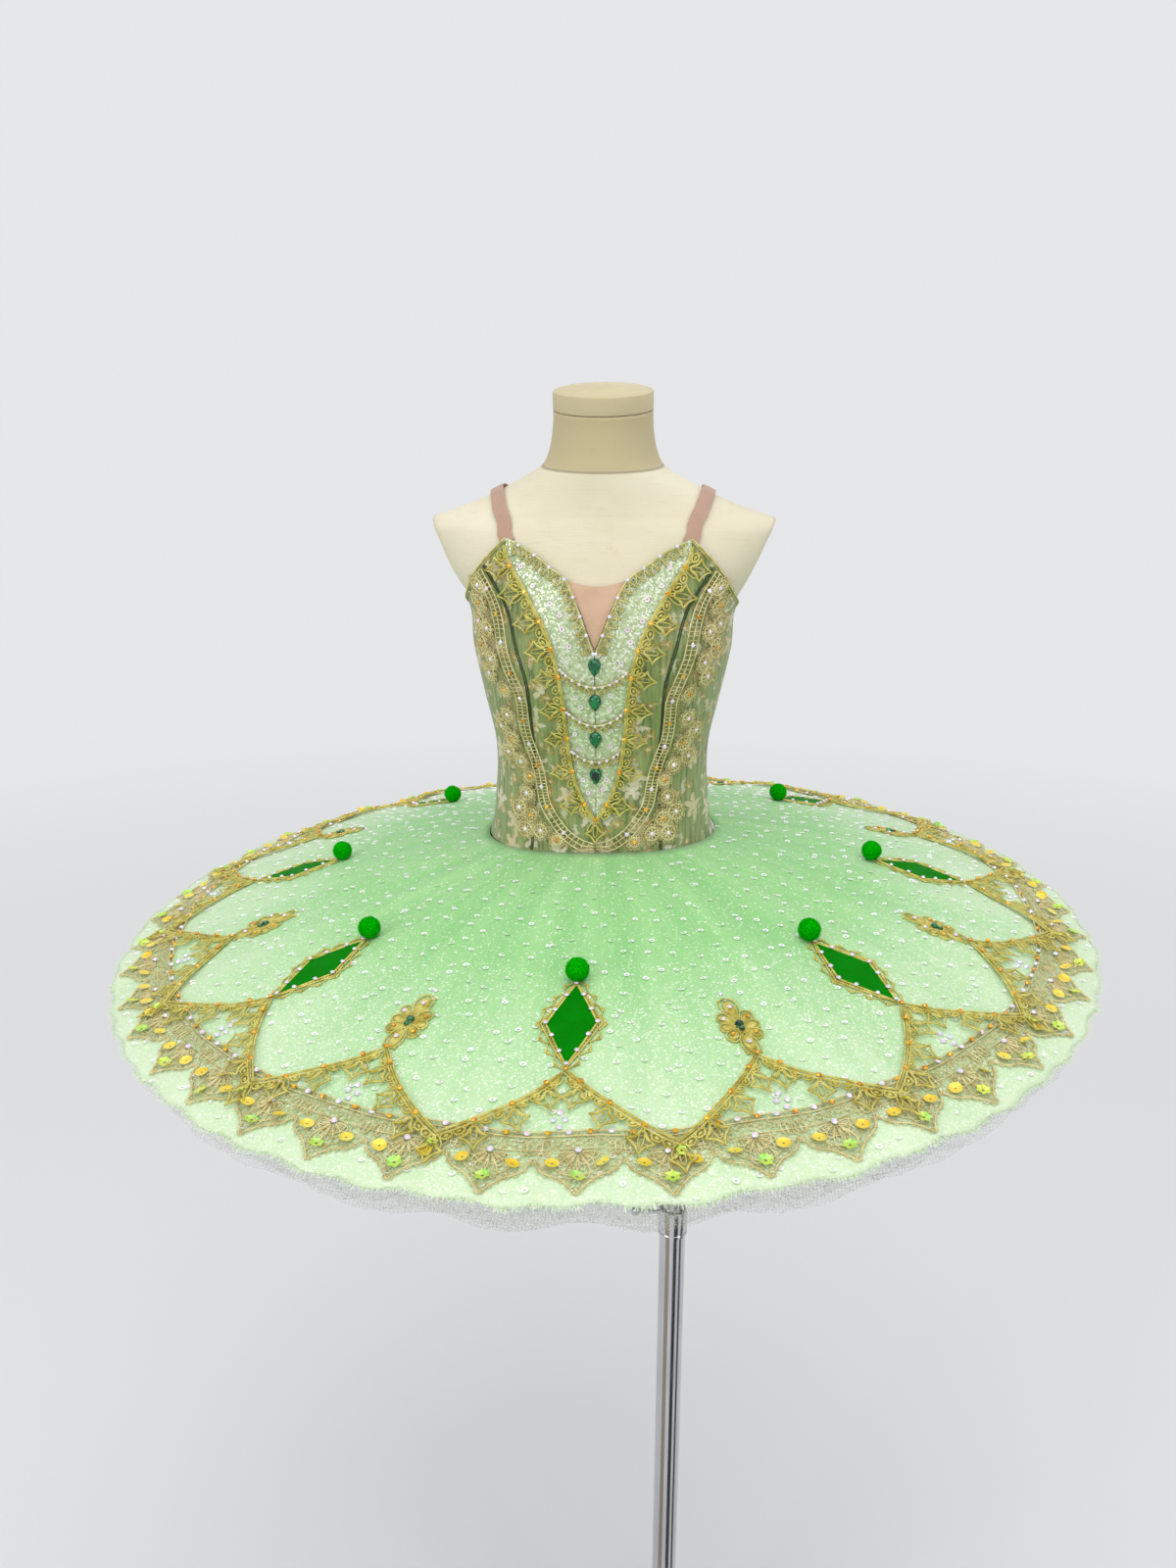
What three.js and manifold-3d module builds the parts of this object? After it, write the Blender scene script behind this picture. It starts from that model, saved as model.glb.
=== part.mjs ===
// Classical tutu on a limbless dress form: a boned bodice in ten panels, a stiff
// decorated plate over three ruffled net layers sewn to knickers, and the padded
// form on a height-adjustable pole stand. Millimetres, +Z up, the front faces -Y.
import * as THREE from 'three';
import { mergeVertices } from 'three/addons/utils/BufferGeometryUtils.js';
import Module from 'manifold-3d';

const manifold = await Module();
manifold.setup();

// ---- driving dimensions -------------------------------------------------------

const WAIST_HEIGHT = 1321;        // waist above the floor
const PLATE_DROP = 96;            // the pompom ring lies this far below the waist
const SEAM_GAP = 0.3;             // between pieces that are sewn or fitted together
const SEAM_TURN = SEAM_GAP / 200; // half of it, as an angle at 100 mm from the form's axis

const CLOTH_CLEARANCE = 1.9;      // from the form to the inside of the cloth
const BODICE_WALL = 1.8;          // coutil, brocade and boning together
const INSERT_WALL = 1.0;
const KNICKERS_WALL = 1.2;
const TRIM_LIFT = 2.2;            // from the bodice to the back of what is sewn on it
const TRIM_WALL = 1.2;
const STRAP_WIDTH = 15;
const STRAP_WALL = 1.2;

const PLATE_WALL = 1.4;
const PLATE_RADIUS = 492;
const PLATE_INNER_GAP = 0.6;      // from the bodice to the inner edge of the plate
const PLATE_REFERENCE = 115;      // radius at which the plate's slope is stated
const PLATE_RISE = 26;            // height there, above the pompom ring
const PLATE_SLOPE = 0.205;
const PLATE_DROOP = 0.00015;
const SIT_TILT = 0.0323;          // the skirt sits higher towards +X
const FOLDS = 24;
const FOLD_DEPTH = 2.2;
const FOLD_START = 150;           // radius where the folds begin
const FOLD_GROWTH = 1.4;          // power by which they deepen towards the rim

const ARCHES = 16;
const LOZENGES = 8;
const SCALLOPS = 45;
const POMPOM_RING = 278;
const POMPOM_RADIUS = 10;
const POMPOM_CORE = 9.3;          // radius at which the locks are fused
const POMPOM_SINK = 0.3;          // no lock points straight down, so the ball sits this much lower

const POLE_OFFSET = 84;           // the pole stands under one hip
const FORM_BOTTOM = -301;         // the form's flat underside, from the waist
const FORM_TOP = 344;             // the top of the neck, from the waist
const NECK_TILT = THREE.MathUtils.degToRad(9);

const TURN = 2 * Math.PI;
const HALF = Math.PI;

// ---- materials ----------------------------------------------------------------

const finish = (name, color, roughness, metalness = 0) =>
  new THREE.MeshStandardMaterial({ name, color, roughness, metalness });
const LINEN = finish('form_linen', 0xe9dfc4, 0.9);
const CAP_LINEN = finish('cap_linen', 0xd5c9a9, 0.9);
const CHROME = finish('chrome', 0xd4d6d8, 0.15, 1);
const BASE_STEEL = finish('base_steel', 0xc9ccce, 0.25, 1);
const BROCADE = finish('brocade', 0x8ea36b, 0.7);
const PLASTRON_CLOTH = finish('plastron_cloth', 0xbfd3b0, 0.6);
const NUDE = finish('nude_mesh', 0xc9a288, 0.75);
const PLATE_CLOTH = finish('plate_cloth', 0xa9dcae, 0.6);
const NET = finish('net', 0xdde7df, 0.8);
const KNIT = finish('knickers_cloth', 0x9fce9f, 0.8);
const GOLD_CORD = finish('gold_cord', 0xb9a73f, 0.45, 0.4);
const ROSE_GOLD_LACE = finish('beige_gold_lace', 0xb89c68, 0.55, 0.3);
const GREEN_SATIN = finish('green_satin', 0x068c1c, 0.5);
const POMPOM_WOOL = finish('pompom_wool', 0x0a9a1e, 0.95);
const EMERALD = finish('emerald_glass', 0x066b3a, 0.08);

// ---- tables and curves --------------------------------------------------------

// Smooth value of one column of a table whose rows are sorted by height.
function smoothColumn(rows, name, height) {
  const last = rows.length - 1;
  const key = THREE.MathUtils.clamp(height, rows[0].height, rows[last].height);
  let i = 0;
  while (i < last - 1 && rows[i + 1].height < key) i += 1;
  const slope = (k) => {
    const a = rows[Math.max(k - 1, 0)];
    const b = rows[Math.min(k + 1, last)];
    return (b[name] - a[name]) / (b.height - a.height);
  };
  const span = rows[i + 1].height - rows[i].height;
  const u = (key - rows[i].height) / span;
  const u2 = u * u;
  const u3 = u2 * u;
  return (2 * u3 - 3 * u2 + 1) * rows[i][name]
    + (u3 - 2 * u2 + u) * span * slope(i)
    + (3 * u2 - 2 * u3) * rows[i + 1][name]
    + (u3 - u2) * span * slope(i + 1);
}

// Points at equal steps along a smooth curve through the given 2-D rows.
function evenSteps(rows, steps, first, second) {
  const points = rows.map((row) => new THREE.Vector3(row[first], row[second], 0));
  const curve = new THREE.CatmullRomCurve3(points, false, 'centripetal');
  return curve.getSpacedPoints(steps).map((p) => ({ [first]: p.x, [second]: p.y }));
}

// ---- meshes -------------------------------------------------------------------

// A closed body from its points and triangles, turned so that its faces point out.
function bodyGeometry(points, triangles) {
  const a = new THREE.Vector3();
  let volume = 0;
  for (const [i, j, k] of triangles) volume += a.copy(points[i]).cross(points[j]).dot(points[k]);
  const index = triangles.flatMap(([i, j, k]) => (volume > 0 ? [i, j, k] : [i, k, j]));
  const geometry = new THREE.BufferGeometry().setFromPoints(points);
  geometry.setIndex(index);
  geometry.computeVertexNormals();
  return geometry;
}

// A wall between two grids of points. A closed grid joins its last column to its first.
function wallGeometry(inner, outer, closed = false) {
  const rows = inner.length;
  const columns = inner[0].length;
  const points = [...inner.flat(), ...outer.flat()];
  const under = (i, j) => i * columns + (j % columns);
  const over = (i, j) => rows * columns + under(i, j);
  const triangles = [];
  const quad = (a, b, c, d) => triangles.push([a, b, c], [a, c, d]);
  const spans = closed ? columns : columns - 1;
  for (let j = 0; j < spans; j += 1) {
    for (let i = 0; i < rows - 1; i += 1) {
      quad(over(i, j), over(i, j + 1), over(i + 1, j + 1), over(i + 1, j));
      quad(under(i, j), under(i + 1, j), under(i + 1, j + 1), under(i, j + 1));
    }
    quad(under(0, j), under(0, j + 1), over(0, j + 1), over(0, j));
    quad(over(rows - 1, j), over(rows - 1, j + 1), under(rows - 1, j + 1), under(rows - 1, j));
  }
  if (!closed) {
    for (let i = 0; i < rows - 1; i += 1) {
      quad(under(i, 0), over(i, 0), over(i + 1, 0), under(i + 1, 0));
      quad(over(i, spans), under(i, spans), under(i + 1, spans), over(i + 1, spans));
    }
  }
  return bodyGeometry(points, triangles);
}

// Turns the edges that triangles share until none is longer than it needs to be, so
// that a triangulated outline follows the curved surface it is laid on.
function localTriangles(points, triangles) {
  const list = triangles.map((triangle) => [...triangle]);
  const area = (i, j, k) => (points[j].x - points[i].x) * (points[k].y - points[i].y)
    - (points[k].x - points[i].x) * (points[j].y - points[i].y);
  const corner = (i, j, k) => {
    const a = points[i].clone().sub(points[k]);
    const b = points[j].clone().sub(points[k]);
    return Math.acos(THREE.MathUtils.clamp(a.dot(b) / (a.length() * b.length()), -1, 1));
  };
  const smallest = 0.01;
  let turns = 1;
  while (turns > 0) {
    turns = 0;
    const edges = new Map();
    const used = new Set();
    for (let n = 0; n < list.length; n += 1) {
      for (let e = 0; e < 3; e += 1) {
        const [a, b, c] = [list[n][e], list[n][(e + 1) % 3], list[n][(e + 2) % 3]];
        edges.set(`${a},${b}`, { n, a, b, c });
      }
    }
    for (const { n, a, b, c } of edges.values()) {
      const other = edges.get(`${b},${a}`);
      if (!other || used.has(n) || used.has(other.n)) continue;
      const d = other.c;
      if (corner(a, b, c) + corner(a, b, d) <= Math.PI + 1e-6) continue;
      if (area(a, d, c) < smallest || area(d, b, c) < smallest) continue;
      list[n] = [a, d, c];
      list[other.n] = [d, b, c];
      used.add(n).add(other.n);
      turns += 1;
    }
  }
  return list;
}

// A flat outline with cut gaps, laid on a surface: place(point, lift) gives the place
// in space of an outline point, and the body fills the space between the two lifts.
function cutworkGeometry(outline, gaps, place, low, high) {
  const ring = THREE.ShapeUtils.isClockWise(outline) ? [...outline].reverse() : outline;
  const holes = gaps.map((gap) => (THREE.ShapeUtils.isClockWise(gap) ? gap : [...gap].reverse()));
  const loops = [ring, ...holes];
  const flat = loops.flat();
  const count = flat.length;
  const points = [...flat.map((p) => place(p, low)), ...flat.map((p) => place(p, high))];
  const triangles = [];
  for (const [i, j, k] of localTriangles(flat, THREE.ShapeUtils.triangulateShape(ring, holes))) {
    triangles.push([i + count, j + count, k + count], [i, k, j]);
  }
  let start = 0;
  for (const loop of loops) {
    for (let i = 0; i < loop.length; i += 1) {
      const a = start + i;
      const b = start + ((i + 1) % loop.length);
      triangles.push([a, b, b + count], [a, b + count, a + count]);
    }
    start += loop.length;
  }
  return bodyGeometry(points, triangles);
}

function toManifold(geometry) {
  const bare = geometry.clone();
  bare.deleteAttribute('normal');
  bare.deleteAttribute('uv');
  const merged = mergeVertices(bare, 1e-3);
  return new manifold.Manifold(new manifold.Mesh({
    numProp: 3,
    vertProperties: new Float32Array(merged.attributes.position.array),
    triVerts: new Uint32Array(merged.index.array),
  }));
}

function fromManifold(solid) {
  const mesh = solid.getMesh();
  const geometry = new THREE.BufferGeometry();
  geometry.setAttribute('position', new THREE.BufferAttribute(mesh.vertProperties, 3));
  geometry.setIndex(new THREE.BufferAttribute(mesh.triVerts, 1));
  geometry.computeVertexNormals();
  return geometry;
}

function addMesh(group, name, geometry, material) {
  const mesh = new THREE.Mesh(geometry, material);
  mesh.name = name;
  group.add(mesh);
  return mesh;
}

// A turned piece from its profile of [radius, height] pairs, upright on +Z.
function turned(profile, segments) {
  const points = profile.map(([radius, height]) => new THREE.Vector2(radius, height));
  return new THREE.LatheGeometry(points, segments).rotateX(HALF / 2);
}

// ---- the dress form -----------------------------------------------------------

// Level sections of the padded form, from its underside to the top of the neck. Heights
// are from the waist; roundness is the section's superellipse power.
const FORM_SECTIONS = [
  { height: -301, halfWidth: 112.0, front: 74.0, back: 78, roundness: 2.2 },
  { height: -292, halfWidth: 126.0, front: 87.0, back: 91, roundness: 2.2 },
  { height: -268, halfWidth: 138.0, front: 98.0, back: 103, roundness: 2.2 },
  { height: -205, halfWidth: 147.0, front: 105.0, back: 114, roundness: 2.2 },
  { height: -130, halfWidth: 133.0, front: 97.0, back: 106, roundness: 2.15 },
  { height: -69, halfWidth: 110.7, front: 86.0, back: 90, roundness: 2.1 },
  { height: -35, halfWidth: 106.0, front: 81.5, back: 83, roundness: 2.1 },
  { height: 0, halfWidth: 103.1, front: 79.0, back: 79, roundness: 2.1 },
  { height: 33, halfWidth: 104.9, front: 81.0, back: 80, roundness: 2.1 },
  { height: 75, halfWidth: 113.9, front: 89.0, back: 86, roundness: 2.1 },
  { height: 123, halfWidth: 123.6, front: 97.0, back: 93, roundness: 2.1 },
  { height: 166, halfWidth: 128.2, front: 93.0, back: 97, roundness: 2.1 },
  { height: 204, halfWidth: 156.0, front: 80.0, back: 97, roundness: 2.0 },
  { height: 234, halfWidth: 174.0, front: 66.0, back: 88, roundness: 1.8 },
  { height: 244, halfWidth: 172.0, front: 62.0, back: 84, roundness: 1.6 },
  { height: 248, halfWidth: 158.0, front: 60.0, back: 81, roundness: 1.6 },
  { height: 262, halfWidth: 118.0, front: 57.0, back: 75, roundness: 1.6 },
  { height: 279, halfWidth: 82.0, front: 54.0, back: 66, roundness: 1.8 },
  { height: 293, halfWidth: 59.0, front: 52.0, back: 58, roundness: 2.0 },
  { height: 300, halfWidth: 54.0, front: 50.0, back: 55, roundness: 2.0 },
  { height: 314, halfWidth: 49.5, front: 47.5, back: 51, roundness: 2.0 },
  { height: 334, halfWidth: 47.0, front: 46.0, back: 48, roundness: 2.0 },
  { height: 344, halfWidth: 47.0, front: 47.0, back: 47, roundness: 2.0 },
];
const UNDERARM = { height: 166, halfWidth: 128.2 };
const SHOULDER = { height: 244, halfWidth: 164 };
const BUST = { height: 128, across: 60, depth: 9, reach: 38, rise: 48 };
const NECK_BASE = 279;

function sectionAt(height) {
  return {
    halfWidth: smoothColumn(FORM_SECTIONS, 'halfWidth', height),
    front: smoothColumn(FORM_SECTIONS, 'front', height),
    back: smoothColumn(FORM_SECTIONS, 'back', height),
    roundness: smoothColumn(FORM_SECTIONS, 'roundness', height),
  };
}

// The flat arm plates cut the form off where its shoulders would reach further out.
function armPlate(height) {
  if (height <= UNDERARM.height) return Infinity;
  const slope = (SHOULDER.halfWidth - UNDERARM.halfWidth) / (SHOULDER.height - UNDERARM.height);
  return UNDERARM.halfWidth + slope * (height - UNDERARM.height);
}

// A point of the form's surface. The angle is 0 at the centre front and grows to +X.
function formPoint(angle, height) {
  const { halfWidth, front, back, roundness } = sectionAt(height);
  const power = 2 / roundness;
  const sine = Math.sin(angle);
  const cosine = Math.cos(angle);
  const plate = armPlate(height);
  const across = halfWidth * Math.sign(sine) * Math.abs(sine) ** power;
  const x = THREE.MathUtils.clamp(across, -plate, plate);
  let y = -(cosine > 0 ? front : back) * Math.sign(cosine) * Math.abs(cosine) ** power;
  if (cosine > 0) {
    const swell = [-1, 1].reduce((sum, side) =>
      sum + Math.exp(-(((x - side * BUST.across) / BUST.reach) ** 2)), 0);
    y -= BUST.depth * cosine * swell * Math.exp(-(((height - BUST.height) / BUST.rise) ** 2));
  }
  const lean = THREE.MathUtils.smoothstep(height, NECK_BASE, FORM_TOP) * Math.tan(NECK_TILT);
  return new THREE.Vector3(x, y, height + y * lean);
}

// The same point moved out along the surface's normal.
function lifted(angle, height, lift) {
  const step = 0.02;
  const point = formPoint(angle, height);
  const along = formPoint(angle + step, height).sub(formPoint(angle - step, height));
  const up = formPoint(angle, height + 1).sub(formPoint(angle, height - 1));
  return point.addScaledVector(along.cross(up).normalize(), lift);
}

// The angle at which the form's front lies a given distance across from the centre.
function angleAcross(across, height) {
  const { halfWidth, roundness } = sectionAt(height);
  const share = Math.min(Math.abs(across) / halfWidth, 1);
  return Math.sign(across) * Math.asin(share ** (roundness / 2));
}

function formTorso() {
  const columns = 24;
  const heights = [-301, -292, -268, -205, -165, -130, -75, -35, 0, 33, 75, 104, 130, 148,
    166, 185, 204, 234, 244, 248, 262, 279, 293, 314, 344];
  const points = [];
  for (const height of heights) {
    for (let j = 0; j < columns; j += 1) points.push(formPoint((j / columns) * TURN, height));
  }
  const top = heights.length - 1;
  const under = points.length;
  points.push(new THREE.Vector3(0, 0, FORM_BOTTOM));
  const over = points.length;
  points.push(new THREE.Vector3(0, 0, FORM_TOP));
  const triangles = [];
  for (let j = 0; j < columns; j += 1) {
    const next = (j + 1) % columns;
    for (let i = 0; i < top; i += 1) {
      const [a, b] = [i * columns + j, i * columns + next];
      triangles.push([a, b, b + columns], [a, b + columns, a + columns]);
    }
    triangles.push([under, next, j], [over, top * columns + j, top * columns + next]);
  }
  return bodyGeometry(points, triangles);
}

const CAP = { radius: 47.2, band: 16, edge: 3, crown: 5.5, gap: 0.5, segments: 24 };

function neckCap() {
  const { radius, band, edge, crown, segments } = CAP;
  const profile = [[0, 0], [radius, 0], [radius, band], [radius - edge, band + edge], [0, band + crown]];
  return turned(profile, segments);
}

const form = new THREE.Group();
form.position.z = WAIST_HEIGHT;
addMesh(form, 'form_torso', formTorso(), LINEN);
const cap = addMesh(form, 'neck_cap', neckCap(), CAP_LINEN);
cap.position.z = FORM_TOP + CAP.gap;
cap.rotation.x = NECK_TILT;

// ---- the pole stand -----------------------------------------------------------

const BASE = { radius: 165, thickness: 9, recess: 1, bossRadius: 24, bossTop: 42, segments: 32 };
const OUTER_TUBE = { radius: 15, bore: 13.4 };
const INNER_TUBE = { radius: 12.7, bore: 11.5 };
const COLLAR_TOP = 789;            // as the slide stands in this model
const TUBE_INSERTED = 300;        // length of the inner tube below the collar's top
const COLLAR = { radius: 17, height: 34, bore: 13.1, shoulder: 18, bevel: 1.5, segments: 20 };
const FLANGE = { radius: 25, thickness: 5, weld: 2, socket: 30, socketRadius: 17, bore: 13.1 };
const SCREW = { radius: 2.8, hole: 3.2, knob: 5.8, reach: 43, drop: 9, segments: 12 };
const KNOB_TURNS = [-0.6, -0.15, 0.3, 0.75, 1.2];   // of the rings on the screw's ball knob
const TUBE_SIDES = 16;

// A disc with softened edges and a boss whose socket takes the outer tube.
function basePlate() {
  const { radius, thickness, recess, bossRadius, bossTop, segments } = BASE;
  const socket = OUTER_TUBE.radius + SEAM_GAP;
  const floor = thickness - recess;
  return turned([[0, 0], [radius - 2, 0], [radius, 2], [radius, thickness - 3], [radius - 4, thickness],
    [bossRadius, thickness], [bossRadius - 1, bossTop], [socket, bossTop], [socket, floor],
    [0, floor]], segments);
}

// A tube as a closed ring profile from its foot to its top.
function tube({ radius, bore }, foot, top) {
  return turned([[bore, foot], [radius, foot], [radius, top], [bore, top], [bore, foot]], TUBE_SIDES);
}

// The collar caps the outer tube and carries the thumb screw above the tube's end.
function collar() {
  const sleeve = OUTER_TUBE.radius + SEAM_GAP;
  const { radius, height, bore, shoulder, bevel, segments } = COLLAR;
  const ring = turned([[bore, -shoulder], [sleeve, -shoulder], [sleeve, -height], [radius, -height],
    [radius, -bevel], [radius - bevel, 0], [bore, 0], [bore, -shoulder]], segments);
  const hole = new THREE.CylinderGeometry(SCREW.hole, SCREW.hole, radius, SCREW.segments);
  hole.rotateZ(HALF / 2).translate(-radius, 0, -SCREW.drop);
  return fromManifold(toManifold(ring).subtract(toManifold(hole)));
}

// The screw's tip meets the inner tube; its ball knob stands clear of the collar.
function thumbScrew() {
  const { radius, knob, reach, segments } = SCREW;
  const tip = INNER_TUBE.radius + SEAM_GAP;
  const neck = reach - Math.sqrt(knob ** 2 - radius ** 2);
  const profile = [[0, tip], [radius, tip], [radius, neck]];
  for (const turn of KNOB_TURNS) {
    profile.push([knob * Math.cos(turn), reach + knob * Math.sin(turn)]);
  }
  profile.push([0, reach + knob]);
  return turned(profile, segments);
}

function formFlange() {
  const { radius, thickness, weld, socket, socketRadius, bore } = FLANGE;
  return turned([[0, -thickness], [bore, -thickness], [bore, -socket], [socketRadius, -socket],
    [socketRadius, -thickness - weld], [radius, -thickness], [radius, 0], [0, 0]], TUBE_SIDES);
}

const stand = new THREE.Group();
stand.position.x = POLE_OFFSET;
addMesh(stand, 'base_plate', basePlate(), BASE_STEEL);
const outerTubeFoot = BASE.thickness - BASE.recess + SEAM_GAP;
const outerTubeTop = COLLAR_TOP - COLLAR.shoulder - SEAM_GAP;
addMesh(stand, 'outer_tube', tube(OUTER_TUBE, outerTubeFoot, outerTubeTop), CHROME);
addMesh(stand, 'tube_collar', collar(), CHROME).position.z = COLLAR_TOP;
const screw = addMesh(stand, 'thumb_screw', thumbScrew(), CHROME);
screw.position.z = COLLAR_TOP - SCREW.drop;
screw.rotation.y = -HALF / 2;
const flangeTop = WAIST_HEIGHT + FORM_BOTTOM - SEAM_GAP;
const innerTubeTop = flangeTop - FLANGE.thickness - SEAM_GAP;
addMesh(stand, 'inner_tube', tube(INNER_TUBE, COLLAR_TOP - TUBE_INSERTED, innerTubeTop), CHROME);
addMesh(stand, 'form_flange', formFlange(), CHROME).position.z = flangeTop;

// ---- the bodice ---------------------------------------------------------------

// Seams and edges of the right half of the bodice, as distances across the front and
// heights from the waist. The left half mirrors them.
const NECKLINE = [
  { across: 0.2, height: 133 },
  { across: 6.3, height: 148.5 },
  { across: 15.0, height: 171 },
  { across: 27.0, height: 195 },
  { across: 40.5, height: 205 },
  { across: 58.0, height: 217 },
  { across: 76.0, height: 226.5 },
  { across: 85.8, height: 230 },
];
const PLASTRON_SEAM = [
  { across: 85.8, height: 230 },
  { across: 82.0, height: 212 },
  { across: 64.0, height: 184.5 },
  { across: 43.0, height: 146.5 },
  { across: 33.2, height: 111 },
  { across: 29.5, height: 86 },
  { across: 27.2, height: 61 },
  { across: 22.5, height: 20.6 },
  { across: 14.7, height: -8.2 },
  { across: 1.6, height: -33 },
];
const HEM_HEIGHT = -74;
const CENTRE_FRONT_HEIGHTS = [-46, -60, HEM_HEIGHT];   // below the plastron's point
// The princess seam and the top edge, as angles round the form in degrees.
const PRINCESS_SEAM = [
  { angle: 42, height: 209 },
  { angle: 39, height: 180 },
  { angle: 35.5, height: 146 },
  { angle: 30.8, height: 105 },
  { angle: 32.3, height: 52 },
  { angle: 33.5, height: 10 },
  { angle: 33, height: HEM_HEIGHT },
];
const TOP_EDGE = [
  { angle: 31.5, height: 230 },
  { angle: 36, height: 220 },
  { angle: 42, height: 209 },
  { angle: 50, height: 196.5 },
  { angle: 62, height: 183 },
  { angle: 77, height: 172 },
  { angle: 90, height: 166 },
  { angle: 112, height: 148 },
  { angle: 135, height: 132 },
  { angle: 158, height: 124 },
  { angle: 180, height: 122 },
];
const SIDE_SEAM = 90;
const BACK_SEAM = 135;
const CENTRE_BACK = 180;
const FRONT_ROWS = PLASTRON_SEAM.length - 1 + CENTRE_FRONT_HEIGHTS.length;
const BACK_ROWS = 7;
const BODICE_OUTSIDE = CLOTH_CLEARANCE + BODICE_WALL;

const radians = THREE.MathUtils.degToRad;
const toAngle = ({ across, height }) => ({ angle: angleAcross(across, height), height });
const fromDegrees = ({ angle, height }) => ({ angle: radians(angle), height });

function topEdgeHeight(degrees) {
  const rows = TOP_EDGE.map(({ angle, height }) => ({ height: angle, value: height }));
  return smoothColumn(rows, 'value', degrees);
}

// A row of points between two angles, at heights given by a function of the angle.
function levelEdge(from, to, steps, heightAt) {
  return Array.from({ length: steps + 1 }, (_, k) => {
    const degrees = from + ((to - from) * k) / steps;
    return { angle: radians(degrees), height: heightAt(degrees) };
  });
}

// A seam that runs straight down at one angle, from the top edge to the hem.
function plumbSeam(degrees, rows) {
  const top = topEdgeHeight(degrees);
  return Array.from({ length: rows + 1 }, (_, k) =>
    ({ angle: radians(degrees), height: top + ((HEM_HEIGHT - top) * k) / rows }));
}

// A panel spanned between its four edges, on either side of the centre front.
function bodicePanel({ top, bottom, left, right }, side) {
  const rows = left.length - 1;
  const columns = top.length - 1;
  const blend = (key, i, j) => {
    const v = i / rows;
    const u = j / columns;
    const corners = (1 - u) * ((1 - v) * left[0][key] + v * left[rows][key])
      + u * ((1 - v) * right[0][key] + v * right[rows][key]);
    return (1 - v) * top[j][key] + v * bottom[j][key]
      + (1 - u) * left[i][key] + u * right[i][key] - corners;
  };
  const grid = (lift) => left.map((_, i) => top.map((__, j) => {
    const shift = SEAM_TURN * (1 - (2 * j) / columns);
    return lifted(side * (blend('angle', i, j) + shift), blend('height', i, j), lift);
  }));
  return wallGeometry(grid(CLOTH_CLEARANCE), grid(BODICE_OUTSIDE));
}

const neckline = NECKLINE.map(toAngle);
const plastronSeam = PLASTRON_SEAM.map(toAngle);
const plastronRows = PLASTRON_SEAM.length - 1;
const plastronPoint = PLASTRON_SEAM[plastronRows].height;
const centreFront = CENTRE_FRONT_HEIGHTS.map((height) => ({ angle: 0, height }));
const princessSeam = evenSteps(PRINCESS_SEAM, FRONT_ROWS, 'angle', 'height').map(fromDegrees);
const hem = () => HEM_HEIGHT;
const PRINCESS_TOP = PRINCESS_SEAM[0].angle;
const PRINCESS_HEM = PRINCESS_SEAM[PRINCESS_SEAM.length - 1].angle;

const PANELS = {
  plastron: {
    top: neckline,
    left: plastronSeam.map((_, i) => ({
      angle: 0,
      height: NECKLINE[0].height + ((plastronPoint - 1 - NECKLINE[0].height) * i) / plastronRows,
    })),
    right: plastronSeam,
    bottom: neckline.map((_, j) => ({
      angle: (plastronSeam[plastronRows].angle * j) / (neckline.length - 1),
      height: plastronPoint - 1 + j / (neckline.length - 1),
    })),
  },
  front: {
    top: [plastronSeam[0], ...levelEdge(TOP_EDGE[0].angle, PRINCESS_TOP, 3, topEdgeHeight).slice(1)],
    left: [...plastronSeam, ...centreFront],
    right: princessSeam,
    bottom: levelEdge(0, PRINCESS_HEM, 3, hem),
  },
  side_front: {
    top: levelEdge(PRINCESS_TOP, SIDE_SEAM, 4, topEdgeHeight),
    left: princessSeam,
    right: plumbSeam(SIDE_SEAM, FRONT_ROWS),
    bottom: levelEdge(PRINCESS_HEM, SIDE_SEAM, 4, hem),
  },
  side_back: {
    top: levelEdge(SIDE_SEAM, BACK_SEAM, 4, topEdgeHeight),
    left: plumbSeam(SIDE_SEAM, BACK_ROWS),
    right: plumbSeam(BACK_SEAM, BACK_ROWS),
    bottom: levelEdge(SIDE_SEAM, BACK_SEAM, 4, hem),
  },
  back: {
    top: levelEdge(BACK_SEAM, CENTRE_BACK, 4, topEdgeHeight),
    left: plumbSeam(BACK_SEAM, BACK_ROWS),
    right: plumbSeam(CENTRE_BACK, BACK_ROWS),
    bottom: levelEdge(BACK_SEAM, CENTRE_BACK, 4, hem),
  },
};

// The nude insert fills the notch of the neckline, up to a shallow curved top edge.
const INSERT = { rows: 4, dip: 5, pointRise: 1, pointTurn: 0.004 };

function modestyInsert() {
  const { rows, dip, pointRise, pointTurn } = INSERT;
  const edges = neckline.slice(0, rows).reverse();
  const across = [-1, -0.5, 0, 0.5, 1];
  const grid = (lift) => edges.map((edge, i) => across.map((share) => {
    const sink = i === 0 ? dip * (1 - share * share) : 0;
    const rise = i === rows - 1 ? pointRise : 0;
    const turn = Math.max(edge.angle - 2 * SEAM_TURN, pointTurn);
    return lifted(share * turn, edge.height - sink + rise, lift);
  }));
  return wallGeometry(grid(CLOTH_CLEARANCE), grid(CLOTH_CLEARANCE + INSERT_WALL));
}

// The straps' route over the shoulder, from the front top edge to the back one.
const STRAP_ROUTE = [
  { angle: 31.7, height: 233, lift: 1.6 },
  { angle: 37, height: 243, lift: 1.8 },
  { angle: 46, height: 254, lift: 2.2 },
  { angle: 60, height: 263, lift: 2.6 },
  { angle: 75, height: 268.5, lift: 3.0 },
  { angle: 90, height: 270, lift: 3.2 },
  { angle: 105, height: 268.5, lift: 3.0 },
  { angle: 120, height: 262, lift: 3.6 },
  { angle: 133, height: 250, lift: 4.2 },
  { angle: 141, height: 228, lift: 3.6 },
  { angle: 146, height: 195, lift: 2.4 },
  { angle: 150, height: 160, lift: 1.6 },
  { angle: 151, height: 128.5, lift: 1.6 },
];

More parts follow.
